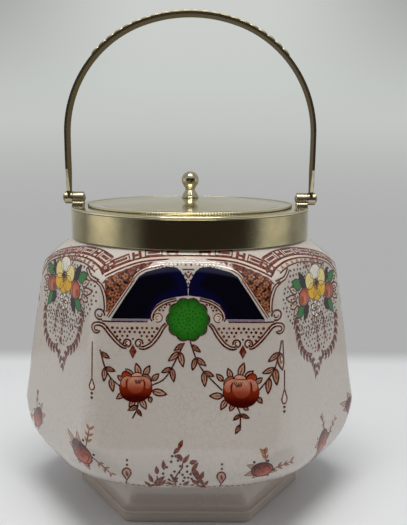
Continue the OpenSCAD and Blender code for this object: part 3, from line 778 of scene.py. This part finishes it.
def pattern_a_rosette():
    lobes = 10
    x, v = 0.0, 103.5

    def scallop(grow):
        """The lobed outline, one point for every 3 degrees."""
        angles = [2 * pi * i / 120 for i in range(120)]
        sizes = [grow * (8.35 + 0.85 * abs(cos(lobes / 2 * a))) for a in angles]
        return [polar(x, v, r, r, a) for r, a in zip(sizes, angles)]

    def shade(p, q):
        return mix(GREEN, GREEN_DEEP, (hypot(p - x, q - v) / 9.2) ** 3)

    ink.fill(A_WHOLE, scallop(1.06), RIM_BROWN, ENAMEL_LIFT)
    enamel.fill(A_WHOLE, scallop(0.98), shade, 0.1)
    for r, count in ((0.9, 5), (2.4, 10), (4.1, 15), (5.9, 12)):
        for i in range(count):
            a = 2 * pi * (i + 0.5 * (count % 2)) / count
            enamel.dot(A_WHOLE, *polar(x, v, r, r, a), 0.4, GREEN_DEEP, 0.12)
    for i in range(lobes):
        a = 2 * pi * (i + 0.5) / lobes
        enamel.stroke(A_WHOLE, [polar(x, v, r, r, a) for r in (6.6, 8.6)], 0.4, GREEN_DEEP, 0.12, taper=0.4)


# Stalks of the garlands with the leaves (node, tip, tip) that hang from them
GARLANDS = (
    ([(41.5, 94), (40.5, 89), (38.5, 82.5), (36, 78.5), (31.5, 73)],
     [((40.5, 89), (35.5, 85.5), (42, 81)), ((38.5, 82.5), (33, 80.5), (39.5, 75)),
      ((36, 78.5), (35.5, 71.5))]),
    ([(1.5, 94), (2, 92.5), (4, 87), (7.5, 81), (15.5, 73)],
     [((2, 92.5), (6, 89.5)), ((4, 87), (8.5, 83.5), (2.5, 81.5)), ((7.5, 81), (12, 79), (8, 74.5))]),
    ([(-1, 93.5), (-3, 89.5), (-6.5, 82.5), (-10, 77.5), (-15, 75)],
     [((-1.5, 93), (-5.5, 90)), ((-3, 89.5), (-8, 85.5), (-1.5, 83)),
      ((-6.5, 82.5), (-11, 80.5), (-5.5, 76.5))]),
    ([(-38, 90), (-37.5, 89), (-35.5, 82.5), (-33, 78), (-29, 74.5)],
     [((-37.5, 89), (-33.5, 86.5)), ((-35.5, 82.5), (-31, 81), (-36, 76.5)), ((-33, 78), (-32, 72))]),
    ([(22, 66), (23.5, 62.5), (23.5, 55.5)],
     [((23.5, 62.5), (20.5, 60), (27.5, 61)), ((23.5, 58), (21.5, 54))]),
    ([(-21, 68), (-21.5, 64.5), (-23.5, 60.5)],
     [((-21, 66), (-25.5, 64)), ((-21.5, 64.5), (-19.5, 61.5))]),
)
# Leaves round the two flowers, each from its stalk (x, v) to its tip (x, v)
FLOWER_LEAVES = (
    (16, 77, 13, 80), (19.5, 78, 18, 82.5), (23, 79, 25, 85), (25.5, 78.5, 29, 81.5), (30, 76, 33, 78.5),
    (31, 70, 33, 67.5), (25, 66, 27, 64.5), (20.5, 67, 19, 64), (17.5, 69, 15, 64.5), (16, 70.5, 10, 70.5),
    (-27.5, 77, -30, 79), (-23.5, 79, -26.5, 82), (-20.5, 79, -22, 84.5), (-18.5, 79, -16, 83.5),
    (-15, 77, -12, 80), (-15, 72.5, -8.5, 71), (-16, 70, -15.5, 67.5), (-20, 69, -17.5, 64.5),
    (-22.5, 68.5, -25, 65.5), (-27, 71.5, -30.5, 69),
)
# Dots of the mound that rises from the belly's edge, its leaves (stalk, tip, width) and their stalks
TUFT_DOTS = (
    (-5, 45.5), (-6, 44), (-4.5, 44), (-6.5, 41.5), (-3.5, 42), (-2.5, 39.5), (0.5, 39.5), (-5, 37),
    (-3, 36.5), (-1.5, 35.5), (0.5, 37), (1, 34), (2.5, 33.5), (-7.5, 33), (-5.5, 30), (-2.5, 30),
    (-10, 36), (-8.6, 30.6), (0, 31), (4.4, 31.4), (3, 29.4), (-10.6, 33.4), (-4, 33.6), (-6.4, 35.2),
    (-1.2, 32.2), (2, 35.8), (-2.2, 42.4), (-8.4, 39), (-0.6, 34), (-11.8, 29.8),
)
TUFT_LEAVES = (
    (-3.4, 47.2, -1.4, 51.4, 1.5), (-12.4, 28.6, -8.6, 33, 1.7), (5.8, 29.6, 2.2, 33.4, 1.7),
    (9, 26.6, 4.6, 29.4, 1.6), (-1.4, 29, 1.6, 32.4, 1.4), (-17, 27, -13, 30.4, 1.5),
    (-6, 29, -8.4, 32, 1.3), (-5.4, 45.4, -2.4, 48, 1.5), (-4.6, 44.4, -1.2, 43.0, 1.7),
    (-1.6, 40.6, 1.6, 45, 1.4), (1.4, 40.8, 5, 42, 1.6), (2.6, 37.4, 5.4, 41.4, 1.4),
    (2.4, 38.6, 6.4, 33.6, 2.0), (6.2, 33, 7.8, 37.4, 1.5), (4.6, 34.4, 8.4, 29.4, 1.7),
    (7.8, 28.8, 9.8, 32.6, 1.4), (-9.6, 37.6, -10, 42.4, 1.5), (-12.6, 35.6, -13, 39.6, 1.5),
    (-14.6, 31, -16.4, 36, 1.4), (-15.6, 28.6, -18.4, 32, 1.3), (-14.4, 30, -9, 35, 1.8),
    (-14.8, 28.8, -9.4, 29.6, 1.5), (-3.6, 31, -6.8, 35.4, 1.3),
)
TUFT_STEMS = (
    [(-4.4, 28), (-4.6, 34), (-1.8, 38.6), (-1.6, 40.6)], [(9, 27), (6, 31.6), (2.4, 37)],
    [(-16, 28), (-13, 31.6), (-12.6, 35)], [(-7, 35.6), (-4.4, 33)], [(-8, 33), (-4.4, 31)],
)


def pattern_a_garlands():
    for stem, tufts in GARLANDS:
        ink.stroke(A_PLAIN, curve(stem), 0.7, LINE)
        for node, *tips in tufts:
            for tip in tips:
                width = 0.36 * dist(node, tip)
                leaf_to(A_PLAIN, *node, *tip, width, mix(ROSE, PINK, rng.uniform(0, 1)))
    for ends in FLOWER_LEAVES:
        leaf_to(A_PLAIN, *ends, 1.1 + 0.26 * reach(*ends)[3], PINK)
    peony([(k, 23.7, 1) for k in A_FACES], 71.9, 1.0)
    peony([(k, -22.0, -1) for k in A_FACES], 73.4, 0.9)
    drop(A_PLAIN, -41.5, 93, 77, 4.8)
    ink.stroke(A_PLAIN, [(42.1, 94), (42.6, 85.5)], 0.6, LINE)
    drop(A_PLAIN, 43, 81, 72.5, 6)


def pattern_a_foot():
    for x, v in TUFT_DOTS:
        ink.dot(A_PLAIN, x, v, 0.66, LINE)
    for *ends, width in TUFT_LEAVES:
        ink.leaf(A_PLAIN, *reach(*ends), 1.35 * width, BROWN)
    for stem in TUFT_STEMS:
        ink.stroke(A_PLAIN, curve(stem), PEN, LINE, taper=0.2)
    # A drop on a short stalk on each side of the mound
    for x, v in ((-26, 32.6), (15.5, 31)):
        bud(A_PLAIN, x, v, [(0, 0), (-1, 1.6), (-1.9, 3.4), (-1.4, 5.2), (0, 5.9)], PINK, PEN)
        ink.leaf(A_PLAIN, x + 0.4, v + 1.6, 100, 3.2, 1.3, BROWN)
        ink.stroke(A_PLAIN, [(x - 0.7, v - 3.4), (x, v)], PEN, LINE)
        for gap in (1.5, 3.6):
            ink.dot(A_PLAIN, x + 0.2, v + 5.9 + gap, 0.55, LINE, sides=8)
    low_flower(A_PLAIN, 33.4, 37.8, 1.1, 10)
    low_flower(A_PLAIN, -46.5, 43, 1.35, -42)
    low_edge(A_PLAIN, -35, 28)


# ---- Pattern of the faces between ----

B_PLACES = [(1, 3.5, 1), (3, 0.0, 1), (5, -3.5, -1)]
B_SPRAYS = [(1, 3.5, 1), (3, 0.0, 1), (5, -0.5, -1, 3.2)]

# Leaves round the spray, printed and enamelled, each from its stalk (x, v) to its tip (x, v) with its width
SPRAY_LEAVES = (
    (-22, 109, -33.5, 111, 3.4), (-22, 107.4, -30, 106, 3.4), (-21, 105.6, -27.4, 102, 3.0),
    (-21, 112, -29, 115, 3.2), (-13, 112, -17, 119.6, 3.2), (21, 108, 29, 108, 3.2),
    (20, 105, 27, 101.6, 3.2), (19, 110, 27, 112.6, 3.2), (9, 118, 14, 121, 2.6), (-4, 98.6, -7, 94.6, 2.6),
    (4, 98.6, 7, 94.6, 2.6), (0, 99, 0, 93.8, 2.8),
)
ENAMEL_LEAVES = (
    (-16, 113.6, -26, 117.4, 5.2, LEAF_GREEN), (-11, 112.6, -17.6, 120.4, 5.0, NAVY),
    (-15, 104.6, -24, 100.4, 5.0, LEAF_GREEN), (-10, 105, -16.6, 98, 4.8, NAVY),
    (12, 111.6, 18, 118.2, 4.8, NAVY), (16.6, 111.4, 26, 115.4, 5.0, LEAF_GREEN),
    (10, 104, 14.6, 97.4, 4.6, NAVY), (14.6, 103.4, 20.6, 95.2, 5.0, LEAF_GREEN),
)
# Petals of the pansy: middle, half axes and colour
PANSY_X, PANSY_V = 1.2, 112.6
PANSY = (
    (1.5, 118.2, 6.2, 3.6, PALE), (-6.0, 114.8, 4.9, 4.0, CREAM), (8.4, 114.8, 4.8, 4.2, CREAM),
    (1.4, 107.2, 4.4, 2.8, YELLOW), (-3.4, 109.8, 5.4, 3.8, YELLOW), (6.8, 109.4, 5.4, 3.8, YELLOW),
)


def fruit(x, v, rx, rv, tilt, red):
    warm = mix(FRUIT, RED, red)

    def shade(p, q):
        rim = hypot((p - x) / rx, (q - v) / rv)
        return mix(mix(warm, BLUSH, 0.3 - 0.35 * (q - v) / rv), RED, 0.75 * rim**3)

    enamel.shape(B_SPRAYS, oval(x, v, rx, rv, tilt), shade, 0.09, 0.55, LINE)
    shadow = oval(x - 0.45 * rx, v - 0.2 * rv, 0.3 * rx, 0.42 * rv, tilt)
    enamel.fill(B_SPRAYS, shadow, mix(warm, RED, 0.5), 0.11)
    crease = [(x + 0.1 * rx, v + 0.9 * rv), (x + 0.45 * rx, v + 0.2 * rv), (x + 0.3 * rx, v - 0.8 * rv)]
    enamel.stroke(B_SPRAYS, curve(crease), FINE_PEN, LINE, 0.12, taper=0.6)


def pattern_b_top():
    arch = curve([(-38.6, 122.4), (-34, 124.6), (-29, 126), (-23, 127.1), (-14, 127.4), (-4.5, 126.4),
                  (8, 124), (17, 121.6), (22.5, 119.2), (27, 115.8), (31, 111.6)])
    ink.ribbon(B_PLACES, arch, 1.4, 0.64)
    ink.stroke(B_PLACES, beside(arch, 3.6)[8:], 0.46, LINE)
    cells, start = [], 1.6
    for i in range(13):
        kind, long = (("square", 3.4), ("bar", 7.4), ("pair", 4.2), ("bar", 7.0))[i % 4]
        if start + long < length_of(arch) - 4:
            cells.append((kind, start, start + long))
        start += long + 1.0
    key_band(B_PLACES, arch, cells)
    lower = beside(arch, -2.6)[6:40]
    ink.stroke(B_PLACES, lower, 0.5, LINE)
    for i in range(20):
        x, v, heading = along(lower, 0.03 + 0.048 * i)
        ink.leaf(B_PLACES, x, v + 0.1, heading + (50 if i % 2 else 130), 1.9, 0.8, ROSE, lift=0.05)
    bracket = curve([(-25.5, 123.4), (-27.8, 122), (-31.5, 120.2), (-35.5, 119.5), (-38.4, 119)])
    ink.ribbon(B_PLACES, bracket, 1.3, taper=0.2)


def pattern_b_field():
    field = curve([(-37, 104), (-37, 112), (-31, 118.5), (-24, 123.5), (-12, 125), (0, 124), (12, 121),
                   (22, 117), (28, 109), (28, 99), (23, 92), (12, 89), (-8, 89), (-25, 92)], True, 3)
    ink.stipple(B_SPRAYS, field, 2.6, 0.58, 0.6, 1.3, 0.4)
    left = [(-26.5, 102), (-25.2, 97), (-24.4, 92), (-22.6, 87), (-18.6, 82.6), (-13.4, 80), (-9.8, 76),
            (-7.6, 70)]
    right = [(23, 96), (22.4, 91), (21, 86), (18.4, 81.6), (13, 78.4), (7, 77), (1, 77.6), (-5.6, 73)]
    for stem in (curve(left), curve(right)):
        ink.stroke(B_SPRAYS, stem, FINE_PEN, LINE)
        for i in range(11):
            x, v, heading = along(stem, (i + 0.3) / 11)
            for side in (-1, 1):
                ink.leaf(B_SPRAYS, x, v, heading + side * 34, 4.8 - 0.1 * i, 2.2, BROWN)
    wedge = [(-23, 98), (21, 95), (18.6, 86), (12, 81), (4, 79.4), (-3, 79.6), (-9, 79), (-13, 82),
             (-19, 85.6), (-22.4, 91)]
    ink.stipple(B_SPRAYS, wedge, 2.7, 0.58, 1.6, 1.3, 0.4)
    for x, angle, long, bend in ((-2, -92, 17, 4), (6, -80, 11, -12)):
        sprig(B_SPRAYS, x, 97, angle, long, 4, bend, mix(RUST, BROWN, 0.4))


def pattern_b_cluster():
    """The spray: leaves, a white blossom, two fruits and the pansy over them."""
    for leaf in SPRAY_LEAVES:
        leaf_to(B_SPRAYS, *leaf, RIBBON)
    for x, angle in ((-6, 112), (0.5, 90), (6, 72)):
        sprig(B_SPRAYS, x, 119, angle, 4.8, 2, 6, RUST)
    for *ends, width, tint in ENAMEL_LEAVES:
        enamel.shape(B_SPRAYS, leaf_outline(*reach(*ends), width), tint, 0.07, 0.45, DARK_LINE)
    for i in range(6):
        petal = oval(*polar(-1.4, 101, 3.0, 2.2, radians(90 + 60 * i)), 2.6, 1.8)
        enamel.shape(B_SPRAYS, petal, PALE, 0.085, 0.44, LINE)
    enamel.dot(B_SPRAYS, -1.4, 101, 0.9, RUST, 0.115, 8)
    fruit(-13.5, 108.6, 6.6, 4.2, 8, 0.0)
    fruit(16.6, 106.8, 6.2, 4.2, -8, 0.3)
    for x, v, rx, rv, tint in PANSY:
        def shade(p, q, tint=tint):
            near = mix(tint, YELLOW, 0.9 - dist((p, q), (PANSY_X, PANSY_V - 0.2)) / 5)
            return mix(near, ORANGE, (106.5 - q) / 9)

        enamel.shape(B_SPRAYS, oval(x, v, rx, rv), shade, 0.11, 0.34, PETAL_LINE)
        for turn in (-0.35, 0, 0.35):
            a = atan2(v - PANSY_V, x - PANSY_X) + turn
            vein = [polar(PANSY_X, PANSY_V, *r, a) for r in ((1.6, 1.3), (4.0, 3.0))]
            enamel.stroke(B_SPRAYS, vein, 0.5, LINE, 0.14, taper=0.6)
    enamel.fill(B_SPRAYS, oval(PANSY_X, PANSY_V, 1.3, 1.1), DARK_LINE, 0.145)


def pattern_b_foot():
    low_flower(B_PLACES[:2], -6.4, 37.4, 1.5, 30)
    low_flower(B_PLACES[2:], 15.4, 41.6, 1.5, -30)
    low_edge(B_PLACES, -36, 26)


# ---- Materials ----


class Graph:
    """The nodes of a material or a world, with short names for the kinds that come often."""

    def __init__(self, owner, place="Object"):
        self.owner, self.tree = owner, owner.node_tree
        self.where = self.add("TexCoord").outputs[place]

    def add(self, kind, inputs=(), **settings):
        node = self.tree.nodes.new("ShaderNode" + kind)
        for key, value in settings.items():
            setattr(node, key, value)
        return self.connect(node, dict(inputs))

    def connect(self, node, inputs):
        """Give a node its inputs, each a number, a colour, a vector or another node's socket."""
        for key, value in inputs.items():
            socket = node.inputs[key]
            if isinstance(value, bpy.types.NodeSocket):
                self.tree.links.new(value, socket)
            elif isinstance(value, tuple):
                socket.default_value = (*value, 1)[:len(socket.default_value)]
            else:
                socket.default_value = value
        return node

    def surface(self, inputs):
        """Set the shader's inputs and hand the material back."""
        self.connect(self.tree.nodes["Principled BSDF"], inputs)
        return self.owner

    def noise(self, scale, detail, rough=0.5, where=None, output="Fac"):
        inputs = {"Vector": where or self.where, "Scale": scale, "Detail": detail, "Roughness": rough}
        return self.add("TexNoise", inputs).outputs[output]

    def ramp(self, value, stops):
        """Colours at their places (0 to 1) along a value."""
        node = self.add("ValToRGB", {"Fac": value})
        bar = node.color_ramp
        for i, (where, colour) in enumerate(stops):
            stop = bar.elements[i] if i < 2 else bar.elements.new(where)
            stop.position = where
            stop.color = (*colour, 1)
        return node.outputs["Color"]

    def span(self, value, start, end, low=0.0, high=1.0, kind="LINEAR"):
        """The value's way from start to end, as a number from low to high."""
        inputs = {"Value": value, "From Min": start, "From Max": end, "To Min": low, "To Max": high}
        return self.add("MapRange", inputs, interpolation_type=kind).outputs[0]

    def calc(self, kind, *values, clamp=False):
        return self.add("Math", dict(enumerate(values)), operation=kind, use_clamp=clamp).outputs[0]

    def blend(self, share, a, b, kind="MIX"):
        """Colour a and b in a share. The node keeps them in its inputs 6 and 7, after numbers and vectors."""
        return self.add("Mix", {0: share, 6: a, 7: b}, data_type="RGBA", blend_type=kind).outputs[2]

    def bump(self, height, strength, distance):
        inputs = {"Height": height, "Strength": strength, "Distance": distance}
        return self.add("Bump", inputs).outputs["Normal"]

    def axes(self):
        return self.add("SeparateXYZ", {"Vector": self.where}).outputs

    def glazed(self, colour):
        """The colour under a clear glaze with slight waves."""
        normal = self.bump(self.noise(70.0, 1.5), 0.12, 0.0006)
        return self.surface({"Base Color": colour, "Roughness": 0.4, "Specular IOR Level": 0.0,
                             "Coat Weight": 1.0, "Coat Roughness": 0.04, "Coat IOR": 1.5,
                             "Normal": normal, "Coat Normal": normal})


def new_material(name):
    material = bpy.data.materials.new(name)
    material.use_nodes = True
    return Graph(material)


def grey(value):
    return (value, value, value)


def make_glaze():
    """White earthenware under a crazed glaze, darker and warmer towards the foot, with dirt under the belly
    and specks.
    """
    g = new_material("glaze")
    z = g.axes()["Z"]
    warp = g.noise(140.0, 2.0, output="Color")
    bent = g.add("MixRGB", {"Fac": 0.006, "Color1": g.where, "Color2": warp}).outputs["Color"]
    cells = g.add("TexVoronoi", {"Vector": bent, "Scale": 330.0}, feature="DISTANCE_TO_EDGE")
    cracks = g.ramp(cells.outputs["Distance"], [(0.0, grey(1.0)), (0.07, grey(0.0))])
    shown = g.ramp(g.noise(26.0, 3.0), [(0.36, grey(0.08)), (0.7, grey(0.36))])
    colour = g.ramp(g.noise(14.0, 4.0), [(0.3, srgb(191, 183, 177)), (0.7, srgb(201, 193, 187))])
    colour = g.blend(g.calc("MULTIPLY", cracks, shown), colour, srgb(156, 140, 126))
    # Darker and warmer towards the foot, by height alone.
    colour = g.blend(g.span(z, 0.024, 0.0, 0.0, 0.5), colour, srgb(168, 152, 136))
    seam = g.ramp(g.span(z, 0.018, 0.034), [(0.0, grey(0.0)), (0.25, grey(0.62)), (0.55, grey(0.4)),
                                            (1.0, grey(0.0))])
    soiled = g.calc("MULTIPLY", g.calc("MULTIPLY", seam, shown), 4.2, clamp=True)
    colour = g.blend(soiled, colour, srgb(132, 108, 84))
    specks = g.add("TexVoronoi", {"Vector": g.where, "Scale": 120.0}).outputs["Distance"]
    speck = g.ramp(specks, [(0.0, grey(0.55)), (0.045, grey(0.0))])
    return g.glazed(g.blend(speck, colour, srgb(150, 128, 110)))


def make_ink():
    """Printed and painted colour under the glaze, uneven where the print is thin."""
    g = new_material("underglaze_print")
    tint = g.add("VertexColor", layer_name="tint").outputs["Color"]
    thin = g.ramp(g.noise(900.0, 2.0), [(0.45, grey(0.0)), (0.78, grey(0.2))])
    return g.glazed(g.blend(thin, tint, srgb(214, 196, 184)))


def make_enamel():
    """Enamel painted over the glaze, a little streaky."""
    g = new_material("enamel")
    tint = g.add("VertexColor", layer_name="tint").outputs["Color"]
    streaks = g.ramp(g.noise(420.0, 3.0), [(0.3, grey(0.82)), (0.7, grey(1.0))])
    return g.glazed(g.blend(1.0, tint, streaks, "MULTIPLY"))


def make_silver(name, tint, shade, low, high, edge=(1, 1, 1)):
    """Worn silver plate: polish with cloudy haze, fine scratches and a warm tarnish.

    The haze runs from the shade with the roughness high to the tint with the roughness low.
    The edge tints what is mirrored at a glancing angle.
    """
    g = new_material(name)
    haze = g.noise(38.0, 5.0, 0.6)
    stretch = g.add("Mapping", {"Vector": g.where, "Scale": (240.0, 240.0, 2600.0)}).outputs[0]
    colour = g.ramp(haze, [(0.32, srgb(*shade)), (0.66, srgb(*tint))])
    return g.surface({"Base Color": colour, "Metallic": 1.0, "Specular Tint": edge,
                      "Roughness": g.span(haze, 0.3, 0.7, high, low),
                      "Normal": g.bump(g.noise(1.0, 3.0, where=stretch), 0.05, 0.0002)})


def make_plaster():
    g = new_material("set_plaster")
    grain = g.noise(700.0, 4.0)
    colour = g.ramp(grain, [(0.3, srgb(196, 188, 170)), (0.7, srgb(222, 216, 200))])
    return g.surface({"Base Color": colour, "Roughness": 0.9, "Normal": g.bump(grain, 0.4, 0.0003)})


def dress(material, *names):
    for name in names:
        mesh = nodes[name].data
        mesh.materials.clear()
        mesh.materials.append(material)


# ---- Milled edge of the lid ----

LID_R = 51.5
MILL_COUNT, MILL_SIDES, MILL_STEPS = 240, 10, 4
BEAD_R, BEAD_SWELL, BEAD_IN, BEAD_UP = 0.42, 0.16, 0.35, 0.62


def lid_milling(material):
    """A fine rope of beads round the lid's edge."""
    low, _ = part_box("lid_cover")
    z0 = low.z / MM + BEAD_UP
    n = MILL_COUNT * MILL_STEPS
    points, faces = [], []
    for i in range(n):
        t = 2 * pi * i / n
        swell = BEAD_R + BEAD_SWELL * sin(pi * (i % MILL_STEPS) / MILL_STEPS)
        after = ((i + 1) % n) * MILL_SIDES
        for j in range(MILL_SIDES):
            r, z = polar(LID_R - BEAD_IN, z0, swell, swell, 2 * pi * j / MILL_SIDES)
            points.append((r * cos(t), r * sin(t), z))
            k = (j + 1) % MILL_SIDES
            faces.append((i * MILL_SIDES + j, after + j, after + k, i * MILL_SIDES + k))
    make_piece("lid_milling", points, faces, material, "lid", sharp=60)


# ---- Floor, world and lamps, in metres ----

FLOOR_HALF = 0.9
FLOOR_START = -0.42              # the near edge of the table, below the camera
FLOOR_END = 0.243                # where the table fades into the backdrop behind the jar


def make_floor():
    g = new_material("table")
    colour = g.ramp(g.noise(3.0, 2.0), [(0.3, srgb(217, 219, 225)), (0.7, srgb(223, 225, 231))])
    material = g.surface({"Base Color": colour, "Roughness": 0.75})
    fade = g.span(g.axes()["Y"], FLOOR_END - 0.03, FLOOR_END + 0.02, kind="SMOOTHSTEP")
    clear = g.add("BsdfTransparent").outputs[0]
    table = g.tree.nodes["Principled BSDF"].outputs[0]
    blend = g.add("MixShader", {0: fade, 1: table, 2: clear}).outputs[0]
    g.connect(g.tree.nodes["Material Output"], {"Surface": blend})
    x, y0, y1 = FLOOR_HALF, FLOOR_START, FLOOR_END + 0.03
    mesh = bpy.data.meshes.new("table")
    mesh.from_pydata([(-x, y0, 0), (x, y0, 0), (x, y1, 0), (-x, y1, 0)], [], [(0, 1, 2, 3)])
    mesh.materials.append(material)
    floor = bpy.data.objects.new("table", mesh)
    bpy.context.scene.collection.objects.link(floor)


def make_world():
    """A pale backdrop for the camera; for the light, a room with bright sides and a dark front."""
    world = bpy.data.worlds.new("studio")
    world.use_nodes = True
    world.node_tree.nodes.clear()
    g = Graph(world, "Generated")
    x, y, z = g.axes()
    aside = g.calc("ABSOLUTE", x)
    # What the camera sees: a grey backdrop with painted light and shade, paler upwards and darker at both
    # sides
    seen = g.ramp(g.span(z, -0.4, 0.6),
                  [(0.0, srgb(174, 174, 174)), (0.3, srgb(175, 176, 175)), (0.34, srgb(179, 180, 179)),
                   (0.37, srgb(185, 187, 185)), (0.41, srgb(194, 197, 194)), (0.46, srgb(200, 204, 201)),
                   (0.54, srgb(203, 206, 203)), (1.0, srgb(196, 198, 195))])
    painted_side_shade = g.calc("MULTIPLY", g.span(aside, 0.06, 0.3, kind="SMOOTHSTEP"), g.span(z, 0.02, 0.16))
    seen = g.blend(painted_side_shade, seen, srgb(158, 161, 158))
    # What lights the jar and shows in the metal: by height, then the back, the two sides and the front
    room = g.ramp(g.span(z, -1.0, 1.0),
                  [(0.0, grey(0.24)), (0.5, (0.29, 0.29, 0.28)), (0.62, (0.38, 0.38, 0.36)),
                   (0.75, (0.44, 0.44, 0.42)), (1.0, grey(0.55))])
    room = g.blend(g.span(y, 0.3, 0.9), room, (0.46, 0.46, 0.43))
    sides = g.ramp(g.span(x, -1.0, 1.0), [(0.1, (0.98, 0.92, 0.82)), (0.9, (0.72, 0.69, 0.63))])
    room = g.blend(g.span(aside, 0.88, 1.0, kind="SMOOTHSTEP"), room, sides)
    front = g.span(g.calc("MULTIPLY_ADD", x, -0.12, y), -0.36, -0.74, kind="SMOOTHSTEP")
    low = g.span(z, 0.5, 0.34, kind="SMOOTHSTEP")
    room = g.blend(g.calc("MULTIPLY", front, low), room, (0.04, 0.031, 0.026))
    colour = g.blend(g.add("LightPath").outputs["Is Camera Ray"], room, seen)
    back = g.add("Background", {"Color": colour, "Strength": 1.0}).outputs[0]
    g.add("OutputWorld", {"Surface": back})
    bpy.context.scene.world = world


def lamp(name, place, size, power, tint, target, mirrored):
    data = bpy.data.lights.new(name, "AREA")
    data.shape = "RECTANGLE"
    data.size, data.size_y = size
    data.energy = power
    data.color = tint
    light = bpy.data.objects.new(name, data)
    light.location = place
    light.visible_glossy = mirrored
    light.rotation_mode = "QUATERNION"
    light.rotation_quaternion = (Vector(place) - Vector(target)).to_track_quat("Z", "Y")
    bpy.context.scene.collection.objects.link(light)


# ---- Everything together ----

make_camera()
glaze = make_glaze()
print_ink = make_ink()
paint = make_enamel()
silver = make_silver("silver_plate", (226, 219, 192), (204, 195, 160), 0.08, 0.22)
bead_silver = make_silver("beaded_plate", (206, 196, 166), (180, 168, 134), 0.34, 0.46)
knob_silver = make_silver("worn_plate", (208, 202, 178), (184, 176, 146), 0.05, 0.12)
# The collar's plate is a darker copy of the lid's: painted shade for the darker band the collar shows.
collar_silver = make_silver("collar_plate", (196, 188, 154), (150, 143, 114), 0.05, 0.18)
# The bail's dark edge tint dims what it mirrors at a glancing angle: painted shade on its inner face.
bail_silver = make_silver("bail_plate", (206, 196, 168), (176, 166, 136), 0.14, 0.3, (0.22, 0.19, 0.14))
# A darker, rougher copy of the plate for the hinges and the knob's washer and nut; its darker tint is painted
# shade.
shaded_plate = make_silver("shaded_plate", (178, 172, 152), (140, 134, 114), 0.24, 0.4)
dress(silver, "rim_plate", "lid_cover", "lid_skirt")
dress(bead_silver, "bead_border_front", "bead_border_back")
dress(knob_silver, "knob")
dress(collar_silver, "collar_band")
dress(bail_silver, "bail_strap")
dress(shaded_plate, "hinge_lug_left", "hinge_lug_right", "hinge_rivet_left", "hinge_rivet_right", "knob_washer",
      "knob_nut")
dress(make_plaster(), "plaster_bed")

rings = foot_rings() + outer_rings() + inner_rings()
stack = np.concatenate(rings + [[[0, 0, rings[0][0][2]], [0, 0, rings[-1][0][2]]]])
shell = loft_faces(len(rings), len(RING))
body = make_piece("jar_glaze", stack, shell, glaze, "jar", sharp=40)
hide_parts("jar_body")

pattern_a_top()
pattern_a_wings()
pattern_a_scrolls()
pattern_a_rosette()
pattern_a_garlands()
pattern_a_foot()
pattern_b_top()
pattern_b_field()
pattern_b_cluster()
pattern_b_foot()
ink.piece("printed_ornament", print_ink)
enamel.piece("enamelled_ornament", paint)
lid_milling(silver)

make_floor()
make_world()
lamp("top_softbox", (0.0, -0.22, 0.92), (0.5, 0.3), 5.6, (1.0, 0.99, 0.92), (0, 0, 0.12), True)
for name, x, power in (("left_softbox", -0.75, 0.34), ("right_softbox", 0.75, 0.28)):
    lamp(name, (x, 0.15, 0.3), (0.4, 0.6), power, (0.98, 1.0, 0.98), (0, 0, 0.09), False)

bpy.context.scene.view_settings.view_transform = "Standard"
